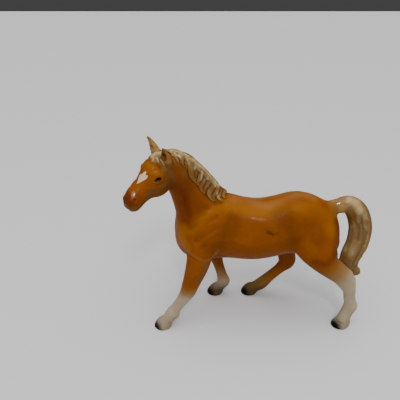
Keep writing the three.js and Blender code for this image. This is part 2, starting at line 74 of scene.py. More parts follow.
def in_scene(name, data):
    made = bpy.data.objects.new(name, data)
    bpy.context.scene.collection.objects.link(made)
    return made


class Signal:
    """A number on a wire of a node tree. Python's own signs add the Math nodes that work on it."""

    def __init__(self, wiring, socket):
        self.wiring, self.socket = wiring, socket

    def maths(self, operation, a, b=0.0):
        return self.wiring.node("ShaderNodeMath", {"operation": operation}, {0: a, 1: b})

    def __add__(self, other):
        return self.maths("ADD", self, other)

    def __radd__(self, other):
        return self.maths("ADD", other, self)

    def __sub__(self, other):
        return self.maths("SUBTRACT", self, other)

    def __rsub__(self, other):
        return self.maths("SUBTRACT", other, self)

    def __mul__(self, other):
        return self.maths("MULTIPLY", self, other)

    def __rmul__(self, other):
        return self.maths("MULTIPLY", other, self)

    def stepped(self, low, high):
        """0 below low and 1 above high, with a soft step between them."""
        ends = {0: self, 1: low, 2: high, 3: 0.0, 4: 1.0}
        return self.wiring.node("ShaderNodeMapRange", {"interpolation_type": "SMOOTHSTEP"}, ends)


class Wiring:
    """A node tree. node() adds a node to it, with its settings first and then its sockets."""

    def __init__(self, tree):
        self.tree = tree

    def node(self, kind, settings=None, sockets=None, output=0):
        node = self.tree.nodes.new(kind)
        for key, value in (settings or {}).items():
            setattr(node, key, value)
        for key, value in (sockets or {}).items():
            self.put(node.inputs[key], value)
        return Signal(self, node.outputs[output]) if node.outputs else None

    def put(self, socket, value):
        if isinstance(value, Signal):
            self.tree.links.new(value.socket, socket)
        else:
            socket.default_value = value


camera = in_scene("camera", bpy.data.cameras.new("camera"))
camera.data.lens = LENS
camera.data.sensor_width = LENS
camera.location = CAMERA_PLACE
camera.rotation_euler = (np.pi / 2 - LOOK_DOWN, 0, 0)
bpy.context.scene.camera = camera

corners = np.array([(-1, -1, 0), (1, -1, 0), (1, 1, 0), (-1, 1, 0)]) * FLOOR_SIDE / 2
floor = in_scene("floor", bpy.data.meshes.new("floor"))
floor.data.from_pydata(corners.tolist(), [], [(0, 1, 2, 3)])
paper = bpy.data.materials.new("floor paper")
paper.use_nodes = True
sheet = paper.node_tree.nodes["Principled BSDF"].inputs
sheet["Base Color"].default_value = (PAPER_GREY, PAPER_GREY, PAPER_GREY, 1)
sheet["Roughness"].default_value = PAPER_ROUGHNESS
floor.data.materials.append(paper)

world = bpy.data.worlds.new("tent")
world.use_nodes = True
tent = Wiring(world.node_tree)
way = tent.node("ShaderNodeTexCoord", output="Generated")
upward = tent.node("ShaderNodeVectorMath", {"operation": "DOT_PRODUCT"}, {0: way, 1: TENT_TOP}, "Value")
glow = upward.maths("POWER", upward.maths("MAXIMUM", upward), TENT_NARROWNESS)
tent.put(world.node_tree.nodes["Background"].inputs["Strength"], glow * TENT_GLOW + TENT_DARKEST)
tent.put(world.node_tree.nodes["Background"].inputs["Color"], (1, 1, 1, 1))
bpy.context.scene.world = world

light = bpy.data.lights.new("lamp", "AREA")
light.energy = LAMP_WATTS
light.size = LAMP_SIDE
lamp = in_scene("lamp", light)
lamp.location = LAMP_PLACE
lamp.rotation_euler = (LAMP_AIM - LAMP_PLACE).to_track_quat("-Z", "Y").to_euler()

# Clay model. The figure is first modelled as one in solid clay, trunk, neck, head and legs
# smoothed into each other by thumb, and the moulds for the castings are taken from it after it
# is cut up at the joints.
BREAST = np.array([-0.08179, 0.00178, 0.0])  # foremost point of the trunk, put down on the floor
BODY_LENGTH = 0.178
BARREL_HEIGHT = 0.118
BARREL_DEPTH = 0.070
BARREL_WIDTH = 0.062
STANCE_WIDTH = 0.056
FORE_CANNON = 0.011
HIND_CANNON = 0.012
HOOF = np.array([0.0205, 0.0175, 0.010])  # length, width, height
NECK = np.array([0.078, 0.068, 0.037])  # length, depth, width
NECK_RAKE = np.radians(64)
HEAD = np.array([0.061, 0.034, 0.027])  # length, depth, width
HEAD_TURN = np.radians(43)
HEAD_DROP = np.radians(42)
HEAD_TILT = np.radians(10)
TAIL = np.array([0.023, 0.015, 0.0295])  # width, thickness, arch
# How far each join is smoothed
THUMBED = {"leg": 0.006, "neck": 0.014, "head": 0.006, "ear": 0.0025, "tail": 0.008, "hoof": 0.0015}
MM = 0.001  # a millimetre in the scene's metres

LEFT = np.array([0.0, -1.0, 0.0])
REAR = np.array([1.0, 0.0, 0.0])
UP = np.array([0.0, 0.0, 1.0])


def unit(v):
    return v / np.linalg.norm(v, axis=-1, keepdims=True)


def turned(v, axis, angle):
    c, s = np.cos(angle), np.sin(angle)
    return v * c + np.cross(axis, v) * s + axis * np.dot(axis, v) * (1 - c)


def smooth_rows(rows, steps):
    rows = np.array(rows, float)
    last = len(rows) - 1
    t = np.linspace(0, last, last * steps + 1)
    i = np.minimum(t.astype(int), last - 1)
    u = (t - i)[:, None]
    a, b, c, d = rows[np.maximum(i - 1, 0)], rows[i], rows[i + 1], rows[np.minimum(i + 2, last)]
    into, out, rise = (c - a) / 2, (d - b) / 2, c - b
    return b + u * (into + u * (3 * rise - 2 * into - out + u * (into + out - 2 * rise)))


def path_axes(path, side):
    ahead = np.vstack([path[1:], path[-1:]])
    behind = np.vstack([path[:1], path[:-1]])
    along = unit(ahead - behind)
    across = unit(side - (along @ side)[:, None] * along)
    return across, np.cross(along, across)


def swept(rows, side, up=None, sides=72, steps=8):
    """A closed skin through rows of x, y, z, half across, half above, half below and ridge."""
    path = smooth_rows([list(row) + [0] * (7 - len(row)) for row in rows], steps)
    centre, half, above, below, ridge = path[:, :3], *path[:, 3:].T
    across, upward = path_axes(centre, side) if up is None else np.tile([[side], [up]], (1, len(path), 1))
    angle = np.arange(sides) * 2 * np.pi / sides
    c, s = np.cos(angle), np.sin(angle)
    sideways = half[:, None] * c * (1 - ridge[:, None] * np.maximum(s, 0))
    upright = np.where(s > 0, above[:, None], below[:, None]) * s
    rings = centre[:, None] + sideways[..., None] * across[:, None] + upright[..., None] * upward[:, None]
    count = len(path) * sides
    points = np.vstack([rings.reshape(-1, 3), rings[0].mean(0), rings[-1].mean(0)])
    k = np.arange(count - sides).reshape(-1, sides)
    n = np.roll(k, -1, 1)
    quads = np.stack([k, n, n + sides, k + sides], -1).reshape(-1, 4)
    start, end = k[0], k[-1] + sides
    caps = [np.stack([np.full(sides, count), np.roll(start, -1), start], -1)]
    caps.append(np.stack([np.full(sides, count + 1), end, np.roll(end, -1)], -1))
    return points, quads, np.vstack(caps)


def ball(centre, axes, halves, sides=48):
    down, around = np.linspace(0, np.pi, sides // 2 + 1), np.arange(sides) * 2 * np.pi / sides
    v, u = np.meshgrid(down, around, indexing="ij")
    local = np.stack([np.cos(v), np.sin(v) * np.cos(u), np.sin(v) * np.sin(u)], -1).reshape(-1, 3) * halves
    k = np.arange(local.shape[0] - sides).reshape(-1, sides)
    n = np.roll(k, -1, 1)
    return centre + local @ np.array(axes), np.stack([k, n, n + sides, k + sides], -1).reshape(-1, 4), None


def on_trunk(along, up):
    """A point in the trunk's middle: along it, and over the barrel's middle in barrel depths."""
    return BREAST + (along * BODY_LENGTH, 0, BARREL_HEIGHT + up * BARREL_DEPTH)


# Trunk: along the body, top and bottom over and under the barrel's middle in barrel depths, half
# width in barrel widths, ridge
trunk_shares = [
    (0.0, 0.06, 0.14, 0.13, 0), (0.012, 0.17, 0.26, 0.25, 0), (0.05, 0.32, 0.41, 0.35, 0),
    (0.12, 0.45, 0.51, 0.42, 0.1), (0.22, 0.54, 0.5, 0.46, 0.25), (0.32, 0.6, 0.485, 0.475, 0.4),
    (0.41, 0.535, 0.5, 0.49, 0.25), (0.5, 0.495, 0.495, 0.5, 0.1), (0.59, 0.535, 0.45, 0.5, 0.1),
    (0.69, 0.61, 0.375, 0.49, 0.15), (0.79, 0.61, 0.35, 0.48, 0.2), (0.87, 0.52, 0.35, 0.44, 0.2),
    (0.93, 0.4, 0.38, 0.38, 0.1), (0.97, 0.26, 0.4, 0.31, 0), (0.992, 0.09, 0.38, 0.22, 0),
    (1.0, -0.08, 0.3, 0.1, 0),
]
trunk = swept([
    (*on_trunk(along, (top - bottom) / 2), half * BARREL_WIDTH,
     *[(top + bottom) / 2 * BARREL_DEPTH] * 2, ridge)
    for along, top, bottom, half, ridge in trunk_shares
], -LEFT, UP)

# Legs: back from the root and height above the floor in barrel heights, and how far out from the
# root towards the hoof's line
left_fore_shares = [
    (0.03, 1.24, -0.5), (-0.012, 0.96, 0.2), (-0.037, 0.807, 0.66), (-0.067, 0.688, 0.86),
    (-0.11, 0.552, 0.96), (-0.142, 0.45, 1.0), (-0.178, 0.378, 1.02), (-0.229, 0.289, 1.04),
    (-0.269, 0.225, 1.06), (-0.3, 0.178, 1.08), (-0.338, 0.11, 1.1), (-0.369, 0.06, 1.1),
]
right_fore_shares = [
    (0.05, 1.24, -0.5), (0.021, 0.95, 0.2), (0.034, 0.78, 0.66), (0.047, 0.67, 0.82),
    (0.066, 0.586, 0.86), (0.078, 0.527, 0.88), (0.095, 0.45, 0.9), (0.117, 0.374, 0.92),
    (0.15, 0.255, 0.94), (0.162, 0.161, 0.96), (0.143, 0.102, 0.96), (0.106, 0.064, 0.96),
]
left_hind_shares = [
    (-0.02, 1.27, -0.6), (0.02, 1.06, 0.2), (0.07, 0.918, 0.6), (0.13, 0.824, 0.82),
    (0.216, 0.731, 0.94), (0.326, 0.64, 1.0), (0.4, 0.561, 1.0), (0.454, 0.459, 1.0),
    (0.467, 0.374, 1.0), (0.484, 0.31, 1.0), (0.494, 0.255, 1.0), (0.474, 0.17, 1.0),
    (0.455, 0.076, 1.0),
]
right_hind_shares = [
    (-0.04, 1.27, -0.6), (-0.034, 1.05, 0.2), (-0.07, 0.9, 0.6), (-0.078, 0.79, 0.82),
    (-0.075, 0.68, 0.92), (-0.05, 0.565, 0.94), (-0.022, 0.433, 0.95), (-0.065, 0.352, 0.96),
    (-0.122, 0.287, 0.97), (-0.191, 0.21, 0.98), (-0.262, 0.128, 0.98), (-0.315, 0.088, 0.98),
    (-0.348, 0.064, 0.98),
]
# Girths down a leg: half across, half behind, half in front
fore_girths = FORE_CANNON * np.array([
    (0.5, 1.0, 1.0), (0.86, 1.45, 1.5), (0.86, 1.22, 1.22), (0.8, 1.07, 1.05), (0.72, 0.88, 0.86),
    (0.7, 0.8, 0.76), (0.6, 0.66, 0.62), (0.5, 0.57, 0.54), (0.48, 0.57, 0.56), (0.57, 0.84, 0.62),
    (0.54, 0.58, 0.6), (0.62, 0.68, 0.66),
])
hind_girths = HIND_CANNON * np.array([
    (0.7, 1.4, 1.3), (1.2, 2.3, 2.0), (1.14, 2.15, 1.62), (1.02, 1.65, 1.24), (0.86, 1.22, 0.96),
    (0.74, 0.98, 0.8), (0.66, 0.9, 0.78), (0.56, 0.52, 0.6), (0.48, 0.52, 0.52), (0.48, 0.56, 0.54),
    (0.56, 0.66, 0.6), (0.52, 0.56, 0.54), (0.58, 0.62, 0.62),
])
# Hoof, from the sole up: height, half length, half width, shift back
hoof_shares = [
    (-0.4, 0.3, 0.3, 0.0), (0.0, 0.44, 0.44, 0.0), (0.16, 0.49, 0.49, 0.0), (0.5, 0.48, 0.48, 0.05),
    (0.85, 0.43, 0.43, 0.11), (1.15, 0.32, 0.34, 0.14), (1.3, 0.15, 0.15, 0.16),
]
# Each leg: its side (-1 is the left), root along the body and out, rows, girths, the hoof's place
# back from the root, the row of its joint, and how many degrees that leans out and slopes back
legs = {
    "fore_leg_left": (-1, (0.169, 0.26), left_fore_shares, fore_girths, -0.396, 3, 28, 0),
    "fore_leg_right": (1, (0.203, 0.26), right_fore_shares, fore_girths, 0.083, 3, 28, 0),
    "hind_leg_left": (-1, (0.782, 0.22), left_hind_shares, hind_girths, 0.438, 4, 14, 40),
    "hind_leg_right": (1, (0.762, 0.22), right_hind_shares, hind_girths, -0.389, 3, 22, 0),
}
leg_forms, leg_joints, hoof_middles = {}, {}, {}
for name, (side, root, shares, girths, hoof_back, joint_row, lean, slope) in legs.items():
    root_x, root_y = root[0] * BODY_LENGTH, root[1] * BARREL_WIDTH
    rows = [
        (*(BREAST + (root_x + back * BARREL_HEIGHT,
                     side * (root_y + (STANCE_WIDTH / 2 - root_y) * out), height * BARREL_HEIGHT)),
         *girth)
        for (back, height, out), girth in zip(shares, girths)
    ]
    middle = np.array((BREAST[0] + root_x + hoof_back * BARREL_HEIGHT, rows[-1][1], 0))
    hoof = swept([
        (*(middle + (back * HOOF[0], 0, height * HOOF[2])), wide * HOOF[1], long * HOOF[0], long * HOOF[0])
        for height, long, wide, back in hoof_shares
    ], LEFT, REAR)
    lean, slope = np.radians((lean, slope))
    normal = np.array((np.sin(slope), side * np.sin(lean), -np.cos(lean) * np.cos(slope)))
    leg_forms[name] = [swept(rows, -LEFT), hoof]
    leg_joints[name] = (np.array(rows[joint_row][:3]), unit(normal))
    hoof_middles[name] = middle

# Neck: along it, offset to the crest side, half width, crest half, throat half, ridge
neck_shares = [
    (0.0, -0.02, 0.56, 0.49, 0.46, 0.2), (0.16, -0.02, 0.5, 0.455, 0.405, 0.3),
    (0.34, -0.02, 0.42, 0.4, 0.33, 0.35), (0.51, -0.01, 0.36, 0.35, 0.295, 0.35),
    (0.67, -0.01, 0.33, 0.3, 0.27, 0.3), (0.82, -0.02, 0.31, 0.245, 0.245, 0.2),
    (0.93, -0.06, 0.29, 0.19, 0.235, 0.1), (1.0, -0.12, 0.26, 0.14, 0.19, 0),
]
neck_root_shares = (0.19, 0.19)  # along the body, and over the barrel's middle in its depths
neck_bend_share = 0.05
neck_joint_share = 0.3
neck_rise = unit(np.array((-1.0, 0.0, np.tan(NECK_RAKE))))
neck_crest = np.cross(neck_rise, LEFT)
neck_root = on_trunk(*neck_root_shares)
neck_rows = [
    (*(neck_root + along * NECK[0] * neck_rise + offset * NECK[1] * neck_crest
       + neck_bend_share * along ** 2 * NECK[0] * LEFT),
     half * NECK[2], crest * NECK[1], throat * NECK[1], ridge)
    for along, offset, half, crest, throat, ridge in neck_shares
]
neck_form = swept(neck_rows, LEFT)
neck_joint = (neck_root + neck_joint_share * NECK[0] * neck_rise, neck_rise)

# Head: along the face from the poll, brow and jaw from that line in head depths, half width
head_shares = [
    (-0.08, -0.08, 0.42, 0.24), (0.0, 0.06, 0.56, 0.34), (0.1, 0.18, 0.66, 0.41),
    (0.22, 0.235, 0.77, 0.47), (0.34, 0.235, 0.83, 0.5), (0.45, 0.2, 0.82, 0.48),
    (0.55, 0.18, 0.73, 0.42), (0.66, 0.19, 0.58, 0.36), (0.76, 0.22, 0.48, 0.34),
    (0.86, 0.215, 0.42, 0.35), (0.94, 0.14, 0.36, 0.31), (0.985, 0.03, 0.26, 0.2),
    (1.0, -0.05, 0.16, 0.08),
]
poll_shares = (0.12, 0.07)
heading = turned(-REAR, UP, HEAD_TURN)
head_level = np.cross(heading, UP)
head_axis = turned(heading, head_level, -HEAD_DROP)
head_side = turned(head_level, head_axis, -HEAD_TILT)
head_brow = np.cross(head_side, head_axis)
poll = np.array(neck_rows[-1][:3]) + poll_shares[0] * NECK[0] * UP + poll_shares[1] * HEAD[0] * heading
head_joint_shares = (0.33, 0.62, 0.3)
head_joint = (
    poll - head_joint_shares[0] * HEAD[1] * head_brow,
    unit(head_joint_shares[1] * heading + head_joint_shares[2] * neck_rise),
)


def on_head(along, aside, out):
    """A point along the head in its lengths, aside in its widths, out of the brow in its depths."""
    return poll + along * HEAD[0] * head_axis + aside * HEAD[2] * head_side + out * HEAD[1] * head_brow


skull = swept([
    (*on_head(along, 0, (brow - jaw) / 2), half * HEAD[2], *[(brow + jaw) / 2 * HEAD[1]] * 2)
    for along, brow, jaw, half in head_shares
], -head_side, head_brow)
head_axes = (head_axis, head_side, head_brow)
# Masses on each side of the head: along, aside, out, and half sizes in head depths
head_mass_shares = [
    (0.37, 0.3, -0.42, 0.4, 0.2, 0.38),  # cheek
    (0.385, 0.36, -0.06, 0.15, 0.1, 0.1),  # eye
    (0.87, 0.2, 0.07, 0.09, 0.08, 0.09),  # nostril
]
head_masses = [
    ball(on_head(along, side * aside, out), head_axes, np.array((long, wide, deep)) * HEAD[1])
    for along, aside, out, long, wide, deep in head_mass_shares for side in (-1, 1)
]

# Tail: down from the dock to the hock, swing out behind that line, half width, half thickness
tail_shares = [
    (0.0, 0.0, 0.26, 0.4), (-0.01, 0.36, 0.36, 0.45), (-0.025, 0.76, 0.44, 0.5), (0.08, 0.97, 0.5, 0.5),
    (0.28, 0.93, 0.53, 0.5), (0.5, 0.66, 0.53, 0.5), (0.7, 0.28, 0.52, 0.48), (0.86, 0.06, 0.49, 0.4),
    (0.97, 0.06, 0.3, 0.3), (1.02, 0.08, 0.14, 0.17),
]
dock_shares = (0.91, 0.395)
tail_tip_shares = (0.62, 0.75, 0.3)  # behind, inside and above the hock, in hind cannons
HOCK_ROW = 6
tail_joint_share = 0.16  # of the tail's rows, where the hair begins and the tail is stuck on
side, root, shares, *_ = legs["hind_leg_left"]
back, height, out = shares[HOCK_ROW]
hock_y = -(root[1] * BARREL_WIDTH + (STANCE_WIDTH / 2 - root[1] * BARREL_WIDTH) * out)
hock = BREAST + (root[0] * BODY_LENGTH + back * BARREL_HEIGHT, hock_y, height * BARREL_HEIGHT)
tail_tip = hock + np.array(tail_tip_shares) * HIND_CANNON
dock = on_trunk(*dock_shares)
tail_rows = [
    (*(dock + down * (tail_tip - dock) + swing * TAIL[2] * REAR),
     thick * TAIL[1], wide * TAIL[0], wide * TAIL[0])
    for down, swing, wide, thick in tail_shares
]
tail_form = swept(tail_rows, -LEFT, steps=10)
tail_path = smooth_rows(tail_rows, 20)
tail_start = int(tail_joint_share * (len(tail_path) - 1))
tail_joint = (tail_path[tail_start, :3], unit(tail_path[tail_start + 1, :3] - tail_path[tail_start, :3]))

# The clay is kept as distances from its surface, out to this reach.
CLAY_REACH = 0.008


class Clay:
    """Distances from the clay's surface on an even grid, less than nothing inside it."""

    def __init__(self, room, cell, reach=CLAY_REACH):
        self.cell, self.reach = cell, reach
        self.low = np.floor(np.array(room[0]) / cell).astype(int)
        self.shape = tuple(np.ceil(np.array(room[1]) / cell).astype(int) - self.low + 1)
        self.spacing = openvdb.createLinearTransform(cell)
        self.field = None

    def form(self, points, quads, triangles):
        grid = openvdb.FloatGrid.createLevelSetFromPolygons(
            points.astype(np.float32), quads=quads.astype(np.uint32),
            triangles=None if triangles is None else triangles.astype(np.uint32),
            transform=self.spacing, halfWidth=self.reach / self.cell)
        distances = np.empty(self.shape, np.float32)
        grid.copyToArray(distances, ijk=tuple(int(i) for i in self.low))
        return distances

    def add(self, form, thumbed):
        if self.field is None:
            self.field = form
            return
        near = np.maximum(thumbed - np.abs(self.field - form), 0) / thumbed
        self.field = np.minimum(self.field, form) - near ** 3 * thumbed / 6

    def finer(self, room, cell):
        """The same clay on a finer grid, smoothly between the coarse distances."""
        clay = Clay(room, cell)
        clay.field = self.field
        for k in range(3):
            at = (np.arange(clay.shape[k]) + clay.low[k]) * cell / self.cell - self.low[k]
            i = np.clip(at.astype(int), 1, self.shape[k] - 3)
            u = (at - i).reshape([-1 if n == k else 1 for n in range(3)]).astype(np.float32)
            parts = ((1 - u) ** 3, 3 * u ** 3 - 6 * u * u + 4, -3 * u ** 3 + 3 * u * u + 3 * u + 1, u ** 3)
            clay.field = sum(part * clay.field.take(i + n - 1, axis=k) for n, part in enumerate(parts)) / 6
        return clay

    def skin(self):
        grid = openvdb.FloatGrid(self.reach)
        grid.copyFromArray(self.field, ijk=tuple(int(i) for i in self.low))
        grid.transform = self.spacing
        points, quads = grid.convertToQuads(0.0)
        points, quads = points.astype(float), quads.astype(int)
        a, b, c, d = (points[quads[:, k]] for k in range(4))
        if np.einsum("ij,ij->i", a, np.cross(c - a, d - b)).sum() < 0:
            quads = quads[:, ::-1]
        return points, quads


# The whole figure, on a grid as coarse as its big forms allow
CLAY_CELL = 0.9 * MM
CLAY_ROOM = ((-0.14, -0.05, -0.006), (0.125, 0.05, 0.225))
clay_model, head_clay = Clay(CLAY_ROOM, CLAY_CELL), Clay(CLAY_ROOM, CLAY_CELL)
clay_model.add(clay_model.form(*trunk), THUMBED["leg"])
for forms in leg_forms.values():
    clay_model.add(clay_model.form(*forms[0]), THUMBED["leg"])
clay_model.add(clay_model.form(*neck_form), THUMBED["neck"])
for form in [skull, *head_masses]:
    head_clay.add(head_clay.form(*form), THUMBED["head"])
clay_model.add(head_clay.field, THUMBED["head"])
clay_model.add(clay_model.form(*swept(tail_rows[:4], -LEFT)), THUMBED["tail"])


def modelled(room, cell, with_ears=False, feet=()):
    """One room of the clay model, on a grid fine enough for its small forms."""
    clay = clay_model.finer(room, cell)
    for name in feet:
        clay.add(clay.form(*leg_forms[name][1]), THUMBED["hoof"])
    if with_ears:
        for form, cup in ear_forms.values():
            clay.add(np.maximum(clay.form(*form), -clay.form(*cup)), THUMBED["ear"])
    height = (np.arange(clay.shape[2]) + clay.low[2]) * cell
    clay.field = np.maximum(clay.field, -height)
    return relaxed(*clay.skin(), 6)


def tree_of(skin):
    return BVHTree.FromPolygons(skin[0].tolist(), skin[1].tolist())


def neighbours_mean(points, quads):
    """What takes values at a skin's points to the mean of their neighbours' values."""
    a, b = quads.ravel(), np.roll(quads, -1, 1).ravel()
    count = np.bincount(a, minlength=len(points))[:, None]
    return lambda values: np.stack([np.bincount(a, values[b, k], len(points)) for k in range(3)], 1) / count


RELAXING_PULLS = (0.5, -0.52)


def relaxed(points, quads, rounds):
    """Takes the grid's roughness out of a skin without shrinking it."""
    mean_of = neighbours_mean(points, quads)
    for _ in range(rounds):
        for pull in RELAXING_PULLS:
            points = points + pull * (mean_of(points) - points)
    return points, quads


def normals_of(points, quads):
    a, b, c, d = (points[quads[:, k]] for k in range(4))
    face = np.cross(c - a, d - b)
    corner = quads.ravel()
    total = np.stack([np.bincount(corner, np.repeat(face[:, k], 4), len(points)) for k in range(3)], 1)
    return unit(total)


def hollows(points, quads, rounds):
    """How deep each point lies in a hollow, in metres, and less than nothing on a ridge."""
    mean_of, mean = neighbours_mean(points, quads), points
    for _ in range(rounds):
        mean = mean_of(mean)
    return np.einsum("ij,ij->i", mean - points, normals_of(points, quads))


def distance_to(points, path):
    """From each point to a line of points, in metres."""
    best = np.full(len(points), np.inf)
    for a, b in zip(path[:-1], path[1:]):
        along = b - a
        share = np.clip(((points - a) @ along) / (along @ along), 0, 1)
        best = np.minimum(best, np.linalg.norm(points - a - share[:, None] * along, axis=1))
    return best


def fade(distance, reach):
    return np.clip(1 - (distance / reach) ** 2, 0, 1) ** 2


# The skin that the strokes are laid on
FIGURE_ROOM = ((-0.135, -0.045, -0.003), (0.12, 0.045, 0.218))
body_tree = tree_of(modelled(FIGURE_ROOM, CLAY_CELL, feet=legs))
FIGURE_REACHES = np.linspace(0.3, 0.6, 241)  # how far from the camera the figure may lie
FAR_EYE_LOWER = 0.004  # how much nearer to the jaw the far eye sits


def sight(x, y):
    """The way that the camera looks through a pixel of the photo."""
    ray = Vector(((x - PHOTO_SIDE / 2) / PHOTO_SIDE, (PHOTO_SIDE / 2 - y) / PHOTO_SIDE, -1))
    ray.rotate(camera.rotation_euler)
    return ray


def seen_at(pixels, tree=body_tree):
    """The points of a skin that show at pixels of the photo, or that lie nearest to them."""
    found = []
    for x, y in pixels:
        ray = sight(x, y).normalized()
        place = tree.ray_cast(CAMERA_PLACE, ray)[0]
        if place is None:
            on_ray = [CAMERA_PLACE + ray * reach for reach in FIGURE_REACHES]
            place = tree.find_nearest(min(on_ray, key=lambda p: tree.find_nearest(p)[3]))[0]
        found.append(np.array(place))
    return np.array(found)


def across_body(path):
    return path * (1, -1, 1) + (0, 2 * BREAST[1], 0)


def across_head(path):
    return path - 2 * ((path - poll) @ head_side)[:, None] * head_side


def across_eyes(path):
    return across_head(path) - FAR_EYE_LOWER * head_brow


def on_skin(strokes):
    """Strokes laid on the clay, and on the far side too where they have a mirror, in metres."""
    for mirror, amount, reach, *pixels in strokes.values():
        path = seen_at(pixels)
        for side in [path, mirror(path)] if mirror else [path]:
            yield side, amount, reach * MM


# Grooves and swellings thumbed into the clay: what mirrors each to the far side, its depth and
# its reach in mm, and its path in pixels of the photo
clay_strokes_px = {
    "elbow": (None, -0.7, 5.5, (187, 253), (194, 258.5), (202, 262), (211, 261), (219, 255)),
    "upper arm": (None, 1, 9.5, (192, 247), (202, 254), (211, 253)),
    "shoulder": (across_body, -0.6, 5, (189, 230), (198, 225.5), (208, 221), (216, 218)),
    "shoulder middle": (across_body, -0.7, 5, (196, 241), (206, 234.5), (217, 228)),
    "shoulder lower": (across_body, -0.5, 4.5, (201, 248), (210, 241), (218, 236)),
    "girth": (across_body, -0.9, 10, (231, 221), (226, 231), (221, 241), (219, 251)),
    "neck root": (across_body, -0.9, 7, (184, 222), (191, 227), (199, 219), (207, 210)),
    "neck groove": (across_body, -0.7, 7, (178, 190), (184, 202), (190, 214)),
    "flank": (across_body, -1.2, 13, (286, 244), (289, 233), (292, 222)),
    "stifle": (across_body, 0.6, 6, (284, 254), (292, 251), (299, 253)),
    "thigh": (None, -0.4, 5.5, (317, 264), (325, 269.5), (334, 264.5), (337.5, 258)),
    "hip": (across_body, 0.5, 8, (296, 209), (303, 207)),
    "spine": (None, -0.4, 6, (318, 204), (300, 197), (280, 197)),
    "fore tendon": (None, -0.4, 3, (196, 278), (189, 292), (181, 306)),
    "knee": (None, 0.4, 4, (184, 287), (188, 290)),
    "hock": (None, 0.4, 4, (343, 275), (349, 281)),
    "hind tendon": (None, -0.3, 2.5, (352, 285), (351, 297), (352, 309)),
    "jaw": (across_head, 0.5, 4.5, (171, 173), (173, 181), (170, 189), (163, 194)),
    "cheek bone": (across_head, 0.5, 3.5, (166, 186), (156, 188), (147, 189)),
    "brow": (across_head, 0.5, 3.5, (151, 175), (156.5, 174), (163, 176)),
    "nostril": (across_head, -1.5, 1.6, (134.6, 199.4), (135.4, 200.9)),
    "nostril rim": (across_head, 0.3, 1.7, (133, 197), (137.2, 199), (137, 202)),
    "lip": (across_head, -0.6, 1.4, (124.5, 203), (128, 206), (134, 206.5), (138, 204.5)),
    "chin": (across_head, 0.5, 4, (131, 211), (136, 210)),
    "temple": (across_head, -0.4, 4, (148, 170), (151, 176)),
    "far brow": (None, -2.2, 6.5, (137.4, 170), (136, 174.5)),
    "far temple": (None, 1.2, 7, (145.6, 161.5), (143, 165)),
    "nose": (None, 1.2, 6, (132.6, 183.2), (129.8, 186.6), (127.6, 190)),
    "muzzle end": (None, -1.4, 10, (123, 197), (124, 204)),
    "breech top": (None, -1.4, 8, (341, 219), (341, 224)),
    "breech": (None, -0.9, 8, (341.5, 229), (341.5, 236)),
    "dock under": (None, -1.7, 6, (338.6, 217), (339.2, 220)),
    "breech low": (None, -2.1, 7, (340.2, 257.6), (341.2, 261.8)),
    "croup top": (None, -0.9, 10, (308, 190), (320, 195), (331, 198.5)),
    "elbow rim": (None, 0.4, 4.5, (186, 249), (193, 254.5), (200, 258.5), (208, 259), (215, 254)),
    "hock cord": (None, 0.8, 2.8, (340, 262), (346, 267.5), (351.5, 272)),
    "pastern": (None, -0.8, 4, (174.5, 319), (175.5, 318)),
}
strokes = [(path, depth * MM, reach) for path, depth, reach in on_skin(clay_strokes_px)]
# Each far leg's head is pressed in where it comes out from under the muscle.
LEG_HEAD_RADIUS = 0.013
LEG_HEAD_DROP = 0.002
for name in ("fore_leg_right", "hind_leg_right"):
    place, normal = leg_joints[name]
    forward = unit(np.cross(normal, np.cross(-REAR, normal)))
    outward = unit(np.cross(forward, normal))
    outward *= np.sign(outward[1])
    ring = [place + LEG_HEAD_RADIUS * (np.cos(turn) * outward + np.sin(turn) * forward)
            for turn in np.linspace(-1.1, 1.1, 7)]
    path = np.array([body_tree.find_nearest(Vector(p))[0] for p in ring])
    strokes.append((path - LEG_HEAD_DROP * normal, -0.9 * MM, 4.5 * MM))
# The vent that lets the air out of the body in the kiln, a small hole in the belly
vent = on_trunk(0.5, -0.5)
strokes.append((np.array([vent, vent + (0.4 * MM, 0, 0)]), -3 * MM, 2.8 * MM))

# Eyes: almonds in the head's side, each with its middle, its long way and its short way
EYE_HALF_LENGTH = 0.0046
EYE_HALF_HEIGHT = 0.0025
EYE_SWELL = 0.0003
EYE_PX = [(154.6, 181.4), (158.3, 179.6), (162.0, 178.4)]
eye_corners = seen_at(EYE_PX)
far_corners = [body_tree.find_nearest(Vector(corner))[0] for corner in across_eyes(eye_corners)]
eyes = []
for corners in (eye_corners, np.array(far_corners)):
    long_way = unit(corners[2] - corners[0])
    outward = np.array(body_tree.find_nearest(Vector(corners[1]))[1])
    short_way = unit(head_brow - (head_brow @ long_way) * long_way - (head_brow @ outward) * outward)
    eyes.append((corners[1], long_way, short_way))


def almond(points, eye):
    """0 at the middle of an eye, 1 at its lids and more outside them."""
    middle, long_way, short_way = eye
    x, y = (points - middle) @ long_way / EYE_HALF_LENGTH, (points - middle) @ short_way / EYE_HALF_HEIGHT
    near = np.linalg.norm(points - middle, axis=1) < 2.2 * EYE_HALF_LENGTH
    return np.where(near, np.abs(y + 0.25 * x * x - 0.1) + 0.9 * x * x, 9.0)


BOX_EASE = 0.0012


